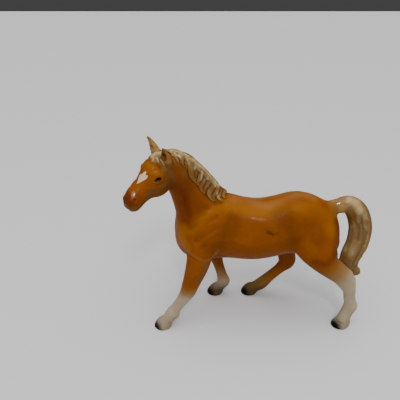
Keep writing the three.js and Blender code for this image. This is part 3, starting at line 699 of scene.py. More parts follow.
def thumbed(points, quads, with_eyes=False):
    """Moves a skin in and out under the strokes, and under the eyes where it has them."""
    normals = normals_of(points, quads)
    move = np.zeros(len(points))
    for path, depth, reach in strokes:
        near = np.flatnonzero(((points > path.min(0) - reach) & (points < path.max(0) + reach)).all(1))
        if len(near):
            move[near] += depth * fade(distance_to(points[near], path), reach)
    for eye in eyes if with_eyes else ():
        at = almond(points, eye)
        move += EYE_SWELL * (np.clip(1 - at ** 2, 0, 1) + fade(at - 1.4, 0.5) - fade(at - 1.0, 0.3))
    points = points + move[:, None] * normals
    # What would stand out of the solids' box is eased back in, and the feet end at the ground.
    for k in range(2):
        beyond = np.abs(points[:, k]) - (cad_box[1][k] - BOX_EASE)
        eased = np.abs(points[:, k]) - beyond + BOX_EASE * np.tanh(beyond / BOX_EASE)
        points[:, k] = np.where(beyond > 0, np.sign(points[:, k]) * eased, points[:, k])
    points[:, 2] = np.maximum(points[:, 2], 0)
    return points, quads


# Coat. Underglaze colours airbrushed and brushed on the fired clay, orange, brown and yellow, with
# cream stockings, black toes and a white star, then dipped in clear glaze and fired again.
# Its sprayed strokes are given as the clay's are, with their strength in place of a depth.
coat_strokes_px = {
    "red": {
        "throat": (across_body, 0.6, 17, (177, 186), (181, 198), (184, 210), (188, 221)),
        "throat deep": (across_body, 0.75, 12, (182, 192), (185, 204), (188, 215)),
        "jaw shadow": (across_body, 0.45, 12, (177, 170), (179, 180), (180, 188)),
        "thigh": (across_body, 0.5, 10, (315, 262), (326, 265), (336, 255)),
        "muzzle": (across_head, 0.8, 10, (126, 196), (127, 203), (131, 204)),
        "muzzle top": (across_head, 0.45, 11, (127, 191), (134, 203)),
        "croup": (across_body, 0.2, 8, (290, 196), (306, 197), (322, 205)),
        "belly": (across_body, 0.2, 10, (228, 249), (255, 252), (280, 248)),
    },
    "shade": {
        "girth": (across_body, 0.6, 18, (234, 222), (228, 232), (221, 242), (211, 250)),
        "barrel": (across_body, 0.3, 16, (236, 222), (255, 226), (275, 226)),
        "flank": (across_body, 0.65, 21, (282, 216), (291, 228), (294, 240)),
        "haunch": (across_body, 0.4, 20, (300, 224), (314, 230), (318, 240)),
        "breech": (across_body, 0.8, 11, (337, 222), (338, 240), (336, 254)),
        "arm": (across_body, 0.3, 9, (201, 252), (208, 247), (213, 240)),
        "neck": (across_body, 0.6, 13, (187, 184), (193, 196), (199, 208)),
        "rump": (across_body, 0.35, 14, (313, 213), (324, 218)),
        # Painted shadow of the mane on the neck, along its lower edge.
        "shadow under the mane": (None, 0.7, 4, (189, 171), (192, 179.5), (197, 185.5), (203, 191.5),
                      (205.6, 195), (211, 198), (215.4, 203), (222, 202)),
    },
    "yellow": {
        "back": (across_body, 0.9, 14, (228, 205), (245, 209), (262, 211), (280, 209)),
        "hip": (across_body, 0.6, 14, (295, 210), (313, 208), (328, 218), (331, 232)),
        "shoulder": (across_body, 0.7, 11, (218, 208), (203, 218), (190, 229)),
        "thigh": (across_body, 0.5, 11, (304, 243), (314, 250)),
        "breast": (across_body, 1, 10, (183, 228), (181, 238), (187, 247)),
        "brow": (across_head, 0.7, 8, (148, 163), (154, 172), (163, 174)),
    },
    "umber": {
        "cheek": (across_head, 0.9, 11, (167, 170), (171, 180), (164, 189), (150, 195)),
        "chin": (across_head, 0.9, 8, (126, 208), (134, 210), (143, 204)),
        "ear root": (across_head, 0.9, 6, (171.5, 166), (172, 171)),
        "nape": (across_body, 0.7, 9, (176, 161), (181, 168), (186, 176)),
        # Painted sheen: a tan strip down the rear edge of each forearm.
        "forearm": (across_body, 0.8, 6, (206, 262), (203, 272), (197, 282)),
        # Painted shade: the far hind cannon, under the body, left umber in place of cream.
        "far cannon": (None, 1, 10, (272, 266), (262, 277), (252, 287)),
        "jowl": (across_head, 0.55, 8, (150, 190), (157, 186.5), (165, 183)),
        "eye corner": (across_head, 0.6, 4, (164, 178), (168, 176)),
    },
    # Painted sheen: paler tan where the glaze catches the light along the back, the breast, the face, the
    # elbow and the far arm.
    "pale": {
        "back": (across_body, 0.45, 13, (235, 197.5), (250, 198.5), (266, 197), (284, 194),
                 (300, 193), (314, 197)),
        "breast": (across_body, 0.5, 12, (176.5, 224), (177.5, 234), (182, 245)),
        "face": (None, 0.45, 7.5, (163, 168.5), (167.5, 166.5), (169, 163.5)),
        "elbow": (None, 0.45, 4.8, (188, 250.5), (195, 256.5), (202, 260.5), (208.5, 260.5),
                  (214, 256), (218, 251)),
        "far arm": (None, 0.4, 5, (213.5, 262), (217, 270), (219, 277)),
    },
    # Painted reflection: grey in the lower middle of each black eye.
    "iris": {
        "iris": (across_eyes, 1, 1.3, (157, 181.1), (159.6, 180.4)),
    },
    "smudge": {
        "smudge": (None, 1, 5, (268, 232), (273, 234.5)),
        "smudge end": (None, 0.8, 5, (273, 235), (278, 233)),
    },
    "gloss": {
        "muzzle": (across_head, 1, 3.4, (133.6, 193.6), (133.1, 196.4)),
        "brow": (across_head, 1, 2.6, (156.4, 171.2), (157, 171.6)),
        "dock": (None, 1, 3.6, (338, 205.6), (339.6, 204.6)),
    },
}
coat_paths = {paint: list(on_skin(jobs)) for paint, jobs in coat_strokes_px.items()}
STAR_TIP_PX = (137.2, 183.4)
STAR_STROKES_PX = [(141.0, 174.6), (145.4, 172.2), (146.8, 176.2)]
STAR_HALF_WIDTH = 0.0019
star_strokes = [seen_at([STAR_TIP_PX, end]) for end in STAR_STROKES_PX]
# Stockings: the height where the orange has gone, over how much it fades, how strong the cream is,
# how much higher it fades towards the rear, and how dark the hoof is left, darker towards the ground.
# On the far legs, on the right, the weaker cream and the darker hooves are painted shade under the body.
stockings = {
    "fore_leg_left": (0.040, 0.030, 1.0, 0.0, 0.45), "fore_leg_right": (0.012, 0.050, 0.9, 0.0, 0.85),
    "hind_leg_left": (0.056, 0.085, 1.0, 1.0, 0.42), "hind_leg_right": (0.002, 0.066, 0.35, 0.0, 0.8),
}
STOCKING_TOP = 0.11
HOOF_SPRAY = unit(np.array([-0.85, -0.32, -0.42]))  # the black was sprayed at the toes from this side
HOOF_BLACK_HEIGHT = 0.0125
HOOF_DARKENING_HEIGHT = 0.016
DOCK_REACH = 0.021
HOLLOW_CELLS = 0.4  # how many cells deep a hollow holds all the dark it can


def painted(points, quads, cell):
    """The strength of each paint at each point."""
    paint = {}
    for key, paths in coat_paths.items():
        paint[key] = np.zeros(len(points))
        for path, strength, reach in paths:
            paint[key] = np.maximum(paint[key], strength * fade(distance_to(points, path), reach))
    paint["hollow"] = np.clip(hollows(points, quads, 12) / (HOLLOW_CELLS * cell), 0, 1)
    # Painted shade: darker where the skin faces the floor.
    paint["under"] = np.clip(-normals_of(points, quads)[:, 2], 0, 1)
    dock_line = tail_path[:tail_start + 1, :3]
    rearward = dock_line[-1] - dock_line[0]
    behind = (points - dock_line[0]) @ rearward / (rearward @ rearward)
    paint["dock"] = fade(distance_to(points, dock_line), DOCK_REACH) * np.clip(behind + 0.45, 0, 1.2)
    paint["eye"] = np.clip(1.6 - 1.5 * np.minimum(*(almond(points, eye) for eye in eyes)), 0, 1)
    star = np.zeros(len(points))
    for tip, end in star_strokes:
        stroke = end - tip
        share = np.clip((points - tip) @ stroke / (stroke @ stroke), 0, 1)
        width = STAR_HALF_WIDTH * (0.25 + 1.1 * share) * np.clip(4.0 - 3.6 * share, 0, 1)
        aside = np.linalg.norm(points - tip - share[:, None] * stroke, axis=1)
        star = np.maximum(star, 1 - aside / width)
    paint["star"] = np.clip(3 * star, 0, 1)
    paint["sock"], paint["black"], paint["grime"] = np.zeros((3, len(points)))
    feet = np.array(list(hoof_middles.values()))
    nearest = np.linalg.norm(points[:, None, :2] - feet[None, :, :2], axis=2).argmin(1)
    height = points[:, 2]
    sprayed = np.clip((normals_of(points, quads) @ HOOF_SPRAY - 0.20) / 0.55, 0, 1)
    black = sprayed * np.clip(2.4 * (1 - height / HOOF_BLACK_HEIGHT), 0, 1)
    for number, (name, (bottom, depth, cream_strength, slant, hoof_darkening_and_shade)) in enumerate(stockings.items()):
        above = height - slant * (points[:, 0] - hoof_middles[name][0])
        level = np.clip((bottom + depth - above) / depth, 0, 1)
        mine = (nearest == number) & (height < STOCKING_TOP)
        for key, amount in (("sock", cream_strength * level * level * (3 - 2 * level)), ("black", black),
                            ("grime", hoof_darkening_and_shade * np.clip(1.6 - height / HOOF_DARKENING_HEIGHT, 0, 1))):
            paint[key] = np.where(mine, amount, paint[key])
    return paint


def meshed(name, points, quads, paint):
    """A skin as a mesh that carries the strength of each paint at each point."""
    mesh = bpy.data.meshes.new(name)
    mesh.from_pydata(points.tolist(), [], quads.tolist())
    for key, amount in paint.items():
        mesh.attributes.new(key, "FLOAT", "POINT").data.foreach_set("value", amount)
    mesh.shade_smooth()
    return mesh


def casting(name, points, quads, seed, cuts, paint):
    """Cuts a skin at its joints and keeps the part at the seed, its cut ends closed flat."""
    mesh = meshed(name, points, quads, paint)
    ways = normals_of(points, quads).ravel()
    mesh.attributes.new("way", "FLOAT_VECTOR", "POINT").data.foreach_set("vector", ways)
    form = bmesh.new()
    form.from_mesh(mesh)
    for place, normal, reach in cuts:
        place = Vector(place)
        near = [face for face in form.faces if (face.calc_center_median() - place).length < reach]
        edges = {edge for face in near for edge in face.edges}
        corners = {corner for face in near for corner in face.verts}
        cut = bmesh.ops.bisect_plane(form, geom=near + list(edges) + list(corners), dist=1e-7,
                                     plane_co=place, plane_no=Vector(normal))["geom_cut"]
        bmesh.ops.split_edges(form, edges=[item for item in cut if isinstance(item, bmesh.types.BMEdge)])
    start = min(form.faces, key=lambda face: (face.calc_center_median() - Vector(seed)).length)
    kept, waiting = {start}, [start]
    while waiting:
        for edge in waiting.pop().edges:
            for face in edge.link_faces:
                if face not in kept:
                    kept.add(face)
                    waiting.append(face)
    bmesh.ops.delete(form, geom=[face for face in form.faces if face not in kept], context="FACES")
    bmesh.ops.holes_fill(form, edges=[edge for edge in form.edges if edge.is_boundary], sides=0)
    form.to_mesh(mesh)
    form.free()
    mesh.shade_smooth()
    ways = np.empty(len(mesh.vertices) * 3)
    mesh.attributes["way"].data.foreach_get("vector", ways)
    mesh.normals_split_custom_set_from_vertices(unit(ways.reshape(-1, 3)))
    mesh.attributes.remove(mesh.attributes["way"])
    return mesh


def shown(name, mesh, material):
    """Puts a finished mesh in the scene in place of its CAD node."""
    mesh.materials.clear()
    mesh.materials.append(material)
    piece = in_scene(name + "_glazed", mesh)
    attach(piece, "root")
    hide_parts(name)


GLAZE_IOR = 1.5
GLAZE_SPECULAR = 0.045
GLOSS_ROUGHNESS = 0.06


class Finish(Wiring):
    """One glazed material."""

    def __init__(self, name):
        self.material = bpy.data.materials.new(name)
        self.material.use_nodes = True
        super().__init__(self.material.node_tree)
        self.place = self.node("ShaderNodeTexCoord", output="Object")

    def noise(self, size, detail=3.0, roughness=0.5):
        """Clouds of the given size in metres, around a half."""
        sockets = {"Vector": self.place, "Scale": 1 / size, "Detail": detail, "Roughness": roughness}
        return self.node("ShaderNodeTexNoise", sockets=sockets)

    def paint(self, name):
        return self.node("ShaderNodeAttribute", {"attribute_name": name}, output="Fac")

    def mixed(self, amount, a, b):
        a, b = ((*c, 1) if isinstance(c, tuple) else c for c in (a, b))
        return self.node("ShaderNodeMix", {"data_type": "RGBA"}, {0: amount, 6: a, 7: b}, output=2)

    def sprayed(self, colour, paint, tint, low, high, most=1.0, drift=0.0):
        """A colour with a tint over it: none where a paint is weaker than low, most above high."""
        return self.mixed((self.paint(paint) + drift).stepped(low, high) * most, colour, tint)

    def glazed(self, colour, roughness, relief, depth, gloss):
        """The glaze, a little uneven where it ran: satin, with a clear gloss coat where it is thick."""
        bump = self.node("ShaderNodeBump", sockets={"Strength": 1.0, "Distance": depth, "Height": relief})
        values = {"Base Color": colour, "Roughness": roughness, "Normal": bump, "IOR": GLAZE_IOR,
                  "Specular IOR Level": GLAZE_SPECULAR, "Coat Weight": gloss,
                  "Coat Roughness": GLOSS_ROUGHNESS}
        for key, value in values.items():
            self.put(self.tree.nodes["Principled BSDF"].inputs[key], value)
        return self.material


ORANGE = (0.215, 0.053, 0.0005)
BROWN_ORANGE = (0.155, 0.036, 0.0003)
YELLOW = (0.26, 0.086, 0.002)
SHADE_BROWN = (0.078, 0.017, 0.0003)
RED_BROWN = (0.090, 0.0105, 0.0002)
UMBER_SHADE_AND_SHEEN = (0.125, 0.060, 0.016)
DARK_BROWN = (0.035, 0.009, 0.001)
STOCKING = (0.40, 0.34, 0.235)
STOCKING_TAN = (0.27, 0.175, 0.085)
STAR_CREAM = (0.53, 0.44, 0.29)
HAIR_CREAM = (0.70, 0.50, 0.25)
DOCK_TAN = (0.20, 0.095, 0.018)
SHEEN_TAN = (0.33, 0.165, 0.055)
HOOF_BLACK = (0.004, 0.003, 0.0025)
HOOF_DARKENING_AND_SHADE = (0.055, 0.036, 0.017)
EYE_BLACK = (0.003, 0.002, 0.002)
EYE_REFLECTION_GREY = (0.055, 0.045, 0.040)
CLOUD, MOTTLE, SPRAY, SMEAR = 0.018, 0.0028, 0.0007, 0.0012
WAVE = 0.006
PINHOLES = 190.0  # how many in a metre
PINHOLE_PATCH = 0.013
RELIEF = 0.0003


def palomino(name):
    """Orange coat airbrushed darker and yellower, cream stockings, black toes, clear glaze, with painted
    shade underneath and on the far legs, and painted sheen and a painted reflection in the eyes.
    """
    finish = Finish(name)
    clouds, mottle = finish.noise(CLOUD, 4, 0.55), finish.noise(MOTTLE, 3, 0.6)
    drift = (clouds - 0.5) * 0.3 + (mottle - 0.5) * 0.16 + (finish.noise(SPRAY, 2, 0.7) - 0.5) * 0.12
    colour = finish.mixed((clouds + mottle * 0.3).stepped(0.5, 0.85) * 0.45, ORANGE, BROWN_ORANGE)
    colour = finish.sprayed(colour, "yellow", YELLOW, 0.1, 1.0, 0.8, drift)
    colour = finish.sprayed(colour, "umber", UMBER_SHADE_AND_SHEEN, 0.1, 0.9, 0.8, drift)
    # Painted shade: the faces that look down are mixed towards brown orange.
    colour = finish.mixed(finish.paint("under") * 0.5, colour, BROWN_ORANGE)
    colour = finish.sprayed(colour, "shade", SHADE_BROWN, -0.05, 1.05, 0.75, drift)
    colour = finish.sprayed(colour, "red", RED_BROWN, 0.0, 1.05, 0.92, drift * 0.8)
    # Painted sheen: paler tan along the back, the breast, the face and the elbows.
    colour = finish.sprayed(colour, "pale", SHEEN_TAN, 0.05, 1.0, 0.75, drift * 0.8)
    colour = finish.mixed(finish.paint("hollow") * 0.4, colour, DARK_BROWN)
    smudge = (finish.paint("smudge") * 0.5 + finish.noise(SMEAR, 4, 0.8)).stepped(0.86, 1.02) * 0.7
    colour = finish.mixed(finish.paint("smudge") * 0.1 + smudge, colour, DARK_BROWN)
    stocking = finish.paint("sock") + drift * 0.4
    cream = finish.mixed(clouds.stepped(0.3, 0.75) * 0.4, STOCKING, STOCKING_TAN)
    cream = finish.mixed(stocking.stepped(0.45, 1.05), STOCKING_TAN, cream)
    colour = finish.mixed(stocking.stepped(0.0, 0.4) * 0.7, colour, DOCK_TAN)
    colour = finish.mixed(stocking.stepped(0.12, 0.95), colour, cream)
    # Hooves darker towards the ground; on the far legs this is painted shade.
    colour = finish.sprayed(colour, "grime", HOOF_DARKENING_AND_SHADE, 0.08, 1.0, 1.0, drift * 0.3)
    colour = finish.sprayed(colour, "dock", DOCK_TAN, -0.1, 0.6, 0.75, drift * 0.3)
    colour = finish.sprayed(colour, "dock", HAIR_CREAM, 0.6, 1.3, 0.45, drift * 0.3)
    colour = finish.sprayed(colour, "black", HOOF_BLACK, 0.05, 0.8, 1.0, drift * 0.25)
    colour = finish.sprayed(colour, "star", STAR_CREAM, 0.3, 0.7, 1.0, (mottle - 0.5) * 0.4)
    colour = finish.sprayed(colour, "eye", EYE_BLACK, 0.2, 0.75)
    # Painted reflection in the lower middle of each eye.
    colour = finish.sprayed(colour, "iris", EYE_REFLECTION_GREY, 0.1, 0.9, 0.8)
    pins = finish.node("ShaderNodeTexVoronoi", sockets={"Vector": finish.place, "Scale": PINHOLES})
    rare = finish.noise(PINHOLE_PATCH, 1, 0.5).stepped(0.58, 0.62)
    colour = finish.mixed((1 - pins.stepped(0.05, 0.11)) * rare * 0.8, colour, DARK_BROWN)
    satin = 0.36 + mottle * 0.08 + finish.paint("hollow") * 0.06
    gloss = (finish.paint("gloss") + finish.paint("eye") * 0.2).stepped(0.15, 0.6)
    relief = finish.noise(WAVE, 2, 0.5) + mottle * 0.15
    return finish.glazed(colour, satin, relief, RELIEF, gloss * 0.85 + 0.02)


coat = palomino("palomino glaze")
LEG_CUT_REACHES = (0.020, 0.020, 0.022, 0.026)
leg_cuts = {name: (*leg_joints[name], reach) for name, reach in zip(legs, LEG_CUT_REACHES)}
neck_cut, head_cut, tail_cut = (*neck_joint, 0.05), (*head_joint, 0.03), (*tail_joint, 0.016)


def cast(name, room, cell, seed, cuts, feet=()):
    """Models one room of the clay, cuts the casting at the seed out of it and glazes it."""
    skin = thumbed(*modelled(room, cell, feet=feet))
    shown(name, casting(name, *skin, seed, cuts, painted(*skin, cell)), coat)


# Body casting. The hollow trunk with the shoulders, the upper arms, the thighs and the root of
# the neck, slip-cast in a two-part mould and sponged smooth.
BODY_ROOM = ((-0.1, -0.045, 0.062), (0.116, 0.045, 0.173))
BODY_SEED = (0.01, -0.04, 0.13)  # a place on the left of the barrel
body_cuts = [neck_cut, tail_cut, *leg_cuts.values()]
cast("body_casting", BODY_ROOM, 0.8 * MM, BODY_SEED, body_cuts)

# Neck casting. Hollow, slip-cast, cut across at its root and behind the jaw, and stuck with slip
# on the body and on the head.
NECK_ROOM = ((-0.12, -0.03, 0.135), (-0.02, 0.035, 0.215))
neck_seed = neck_rows[4][:3] + 0.02 * LEFT
cast("neck_casting", NECK_ROOM, 0.7 * MM, neck_seed, [neck_cut, head_cut])

# Head casting. Hollow, with the eyes, the nostrils and the lips modelled in it. The star is three
# strokes of a brush and the eyes are painted black under the glaze. The ears are modelled with it.
EAR = np.array([0.020, 0.0095, 0.006])  # length, width, thickness
EAR_SPACING = 0.0155
# Ears: up from the root, half width, half thickness, curl forward in thicknesses
ear_shares = [
    (-0.25, 0.76, 0.72, 0.24), (0.0, 0.72, 0.72, 0.24), (0.25, 0.61, 0.64, 0.2), (0.5, 0.46, 0.48, 0.14),
    (0.75, 0.3, 0.3, 0.14), (0.93, 0.19, 0.2, 0.24), (1.0, 0.11, 0.12, 0.28),
]
# Each ear's root behind the poll in head lengths, and how it leans back and out, for one up
ear_lean_shares = {-1: (-0.02, 0.3, 0.15), 1: (0.03, 0.35, 0.3)}
ear_inward_share = 0.06
ear_cup_shares = (0.42, 0.7, 0.8)  # height of its middle, width, length
ear_cup_depths = {-1: 0.8, 1: 0.12}  # in thicknesses


def ear_axes(side):
    behind, back, out = ear_lean_shares[side]
    rise = unit(head_brow - back * head_axis + side * out * head_side)
    front = unit(head_axis - (head_axis @ rise) * rise)
    root = poll - behind * HEAD[0] * head_axis + side * EAR_SPACING / 2 * head_side
    return root - ear_inward_share * HEAD[1] * head_brow, rise, front


ear_forms = {}
for side in (-1, 1):
    root, rise, front = ear_axes(side)
    form = swept([
        (*(root + up * EAR[0] * rise + curl * EAR[2] * front), half * EAR[1], thick * EAR[2], thick * EAR[2])
        for up, half, thick, curl in ear_shares
    ], head_side, sides=36)
    height, wide, long = ear_cup_shares
    cup = ball(root + height * EAR[0] * rise + EAR[2] / 2 * front, (rise, np.cross(rise, front), front),
               np.array((long * EAR[0] / 2, wide * EAR[1] / 2, ear_cup_depths[side] * EAR[2] / 2)), 32)
    ear_forms[side] = (form, cup)


HEAD_CELL = 0.4 * MM
EAR_CUT_SHARE = 0.33
EAR_CUT_REACH = 0.0066
HEAD_ROOM = ((-0.136, -0.046, 0.152), (-0.07, 0.014, 0.23))
skin = thumbed(*modelled(HEAD_ROOM, HEAD_CELL, with_ears=True), with_eyes=True)
head_paint = painted(*skin, HEAD_CELL)
ear_cuts = {}
# The roots of the ears are sprayed with the tan that the dock has.
for side in (-1, 1):
    root, rise, front = ear_axes(side)
    up = (skin[0] - root) @ rise / EAR[0]
    by_ear = np.linalg.norm(skin[0] - root - up[:, None] * EAR[0] * rise, axis=1) < 0.8 * EAR[1]
    most = 0.85 if side < 0 else 1.05
    tan = head_paint["dock"]
    head_paint["dock"] = np.where(by_ear, np.clip(6 * up - 0.1, tan, most), tan)
    ear_cuts[side] = (root + EAR_CUT_SHARE * EAR[0] * rise, rise, EAR_CUT_REACH)
mesh = casting("head_casting", *skin, on_head(0.6, 0, 0.2), [head_cut, *ear_cuts.values()], head_paint)
shown("head_casting", mesh, coat)

# Ears. Pressed leaves of clay, cupped on a tool and stuck on at the poll with slip. They are
# sprayed tan and orange, the left one dark inside, and glazed with the rest.
EAR_TAN = (0.26, 0.130, 0.030)
EAR_BRIGHT_TAN = (0.37, 0.20, 0.055)
EAR_ORANGE = (0.20, 0.070, 0.006)
EAR_TIP_BROWN = (0.15, 0.035, 0.002)
EAR_DARK = (0.085, 0.034, 0.003)
EAR_CLOUD = 0.004
EAR_RELIEF = 0.0002
CUP_DARK_REACH = 0.0055
CUP_DARK_FORWARD = 0.0005


def ear_glaze(name, tan, inside_dark):
    """Tan with the cup of the ear sprayed dark and its tip brown."""
    finish = Finish(name)
    clouds = finish.noise(EAR_CLOUD, 3, 0.6)
    colour = finish.mixed(clouds.stepped(0.3, 0.8) * 0.5, tan, EAR_ORANGE)
    colour = finish.sprayed(colour, "cup", EAR_DARK, 0.1, 0.8, inside_dark, (clouds - 0.5) * 0.4)
    colour = finish.sprayed(colour, "tip", EAR_TIP_BROWN, 0.1, 1.0, 0.6, (clouds - 0.5) * 0.3)
    return finish.glazed(colour, 0.35 + clouds * 0.08, clouds, EAR_RELIEF, 0.05)


ear_looks = {-1: ("ear_left", EAR_TAN, 0.85), 1: ("ear_right", EAR_BRIGHT_TAN, 0.05)}
for side, (name, tan, inside_dark) in ear_looks.items():
    root, rise, front = ear_axes(side)
    points = skin[0]
    from_cup = (points - root - 0.45 * EAR[0] * rise - CUP_DARK_FORWARD * front) / (1, 1, 1.6)
    in_cup = fade(np.linalg.norm(from_cup, axis=1), CUP_DARK_REACH)
    facing = np.clip(normals_of(*skin) @ front, 0, 1)
    height = np.clip((points - root) @ rise / EAR[0], 0, 1)
    ear_paint = {"cup": in_cup * facing * 1.5, "tip": np.clip(2.5 * height - 1.6, 0, 1)}
    mesh = casting(name, *skin, root + 0.9 * EAR[0] * rise, [ear_cuts[side]], ear_paint)
    shown(name, mesh, ear_glaze(name + " glaze", tan, inside_dark))

# Mane. Locks of clay rolled and pressed along the crest by hand, most of them down the left of
# the neck, painted in thin cream over brown that stays in the grooves.
HAIR_CELL = 0.4 * MM
HAIR_REACH = 0.004
HAIR_TAN = (0.145, 0.070, 0.018)
HAIR_OLIVE = (0.112, 0.068, 0.025)
HAIR_GROOVE = (0.045, 0.016, 0.002)
HAIR_ORANGE = (0.165, 0.056, 0.003)
ROOT_TAN = (0.30, 0.175, 0.065)
HAIR_CLOUD = 0.010
STREAK = 0.0014
HAIR_HOLLOW_CELLS = 0.3
ROLL_SIDES = 24
LOCK_STEPS = 24


def hair_tree():
    """Geometry Nodes: one ribbed, flattened roll of clay along each guide line."""
    tree = bpy.data.node_groups.new("locks", "GeometryNodeTree")
    for name, kind in (("Guides", "Geometry"), ("Around", "Int"), ("Ribs", "Float"), ("Rib Depth", "Float"),
                       ("Flatness", "Float"), ("Material", "Material")):
        tree.interface.new_socket(name, in_out="INPUT", socket_type="NodeSocket" + kind)
    tree.interface.new_socket("Locks", in_out="OUTPUT", socket_type="NodeSocketGeometry")
    wiring = Wiring(tree)
    node = wiring.node
    given = {socket.name: Signal(wiring, socket) for socket in tree.nodes.new("NodeGroupInput").outputs}
    out = node("GeometryNodeInputNamedAttribute", {"data_type": "FLOAT_VECTOR"}, {"Name": "out"})
    thick = node("GeometryNodeInputNamedAttribute", {"data_type": "FLOAT"}, {"Name": "thick"})
    curves = node("GeometryNodeMeshToCurve", sockets={"Mesh": given["Guides"]})
    curves = node("GeometryNodeSetCurveNormal", {"mode": "FREE"}, {"Curve": curves, "Normal": out})
    circle = node("GeometryNodeCurvePrimitiveCircle", {"mode": "RADIUS"},
                  {"Resolution": given["Around"], "Radius": 1.0})
    place = node("GeometryNodeInputPosition")
    x, y = (node("ShaderNodeSeparateXYZ", sockets={0: place}, output=k) for k in range(2))
    turn = y.maths("ARCTAN2", y, x) * given["Ribs"]
    swell = turn.maths("COSINE", turn) * given["Rib Depth"] + 1.0
    flat = node("ShaderNodeCombineXYZ", sockets={0: x * swell * given["Flatness"], 1: y * swell})
    circle = node("GeometryNodeSetPosition", sockets={"Geometry": circle, "Position": flat})
    rolls = node("GeometryNodeCurveToMesh",
                 sockets={"Curve": curves, "Profile Curve": circle, "Scale": thick, "Fill Caps": True})
    rolls = node("GeometryNodeRealizeInstances", sockets={"Geometry": rolls})
    rolls = node("GeometryNodeSetMaterial", sockets={"Geometry": rolls, "Material": given["Material"]})
    node("NodeGroupOutput", sockets={"Locks": rolls})
    return tree


def hair(name):
    """Cream and olive hair painted over brown, orange where the coat's spray ran over it. The cream also
    makes painted highlights and painted light on a few locks.
    """
    finish = Finish(name)
    clouds, streaks = finish.noise(HAIR_CLOUD, 4, 0.6), finish.noise(STREAK, 3, 0.6)
    drift = (clouds - 0.5) * 0.6 + (streaks - 0.5) * 0.25
    colour = finish.mixed((clouds + streaks * 0.3).stepped(0.45, 0.85), HAIR_TAN, HAIR_OLIVE)
    colour = finish.sprayed(colour, "bright", HAIR_CREAM, 0.2, 1.0, 0.85, drift)
    colour = finish.mixed(finish.paint("ridge") * (0.17 + drift * 0.5), colour, HAIR_CREAM)
    colour = finish.sprayed(colour, "orange", HAIR_ORANGE, 0.0, 0.9, 0.85, drift * 0.8)
    colour = finish.mixed(finish.paint("root") * 0.9, colour, ROOT_TAN)
    colour = finish.sprayed(colour, "hollow", HAIR_GROOVE, 0.05, 1.1, 0.45, drift * 0.4)
    gloss = finish.paint("gloss").stepped(0.1, 0.7) * 0.85 + 0.02
    return finish.glazed(colour, 0.34 + streaks * 0.06, clouds + streaks * 0.2, RELIEF, gloss)


locks_tree = hair_tree()
hair_glaze = hair("hair glaze")


def rolled(name, guides, ribs, rib_depth, flatness):
    """Rolls of clay along guide lines, each given as points, outward directions and half widths."""
    points, outs, thick = (np.concatenate(values) for values in zip(*guides))
    starts = np.cumsum([0] + [len(path) for path, out, wide in guides])
    edges = [(k, k + 1) for a, b in zip(starts[:-1], starts[1:]) for k in range(a, b - 1)]
    mesh = bpy.data.meshes.new(name)
    mesh.from_pydata(points.tolist(), edges, [])
    mesh.attributes.new("out", "FLOAT_VECTOR", "POINT").data.foreach_set("vector", outs.ravel())
    mesh.attributes.new("thick", "FLOAT", "POINT").data.foreach_set("value", thick)
    guide = in_scene(name, mesh)
    modifier = guide.modifiers.new("locks", "NODES")
    modifier.node_group = locks_tree
    values = {"Around": ROLL_SIDES, "Ribs": float(ribs), "Rib Depth": rib_depth, "Flatness": flatness,
              "Material": hair_glaze}
    for item in locks_tree.interface.items_tree:
        if item.name in values:
            modifier[item.identifier] = values[item.name]
    bpy.context.view_layer.update()
    made = bpy.data.meshes.new_from_object(guide.evaluated_get(bpy.context.evaluated_depsgraph_get()))
    bpy.data.objects.remove(guide)
    made.calc_loop_triangles()
    corners = np.empty(len(made.vertices) * 3)
    made.vertices.foreach_get("co", corners)
    triangles = np.empty(len(made.loop_triangles) * 3, int)
    made.loop_triangles.foreach_get("vertices", triangles)
    bpy.data.meshes.remove(made)
    return corners.reshape(-1, 3), np.empty((0, 4), int), triangles.reshape(-1, 3)


def smooth_path(path, count):
    """The line through the points again, evenly spaced."""
    path = smooth_rows(path, 12)
    length = np.concatenate([[0], np.cumsum(np.linalg.norm(np.diff(path, axis=0), axis=1))])
    at = np.linspace(0, length[-1], count)
    return np.stack([np.interp(at, length, path[:, k]) for k in range(3)], 1)


def pressed(path, tree, lift):
    """Lays a line on a skin, lifted off it, and gives the skin's outward direction along it."""
    hits = [tree.find_nearest(Vector(p)) for p in path]
    outs = unit(np.array([hit[1] for hit in hits]))
    return np.array([hit[0] for hit in hits]) + lift[:, None] * outs, outs


def hair_clay(room, cell, *masses):
    """Masses of clay for hair, each with how far its join is smoothed."""
    clay = Clay(room, cell, HAIR_REACH)
    for mass, thumbed_in in masses:
        clay.add(clay.form(*mass), thumbed_in)
    return clay


def hair_shown(name, skin, cell, tree, strokes_px, root=()):
    """Paints a skin of hair and shows it. The strokes are paint, strength, reach in mm, and paths
    in pixels of the photo."""
    depth = hollows(*skin, 10) / (HAIR_HOLLOW_CELLS * cell)
    paint = {key: np.zeros(len(skin[0])) for key in ("gloss", "root", "bright", "orange")}
    paint = {"hollow": np.clip(depth, 0, 1), "ridge": np.clip(-depth, 0, 1), **paint}
    jobs = [(key, seen_at(pixels, tree), strength, reach * MM)
            for key, strength, reach, *paths in strokes_px for pixels in paths]
    for key, path, strength, reach in [*jobs, *root]:
        paint[key] = np.maximum(paint[key], strength * fade(distance_to(skin[0], path), reach))
    shown(name, meshed(name, *skin, paint), hair_glaze)


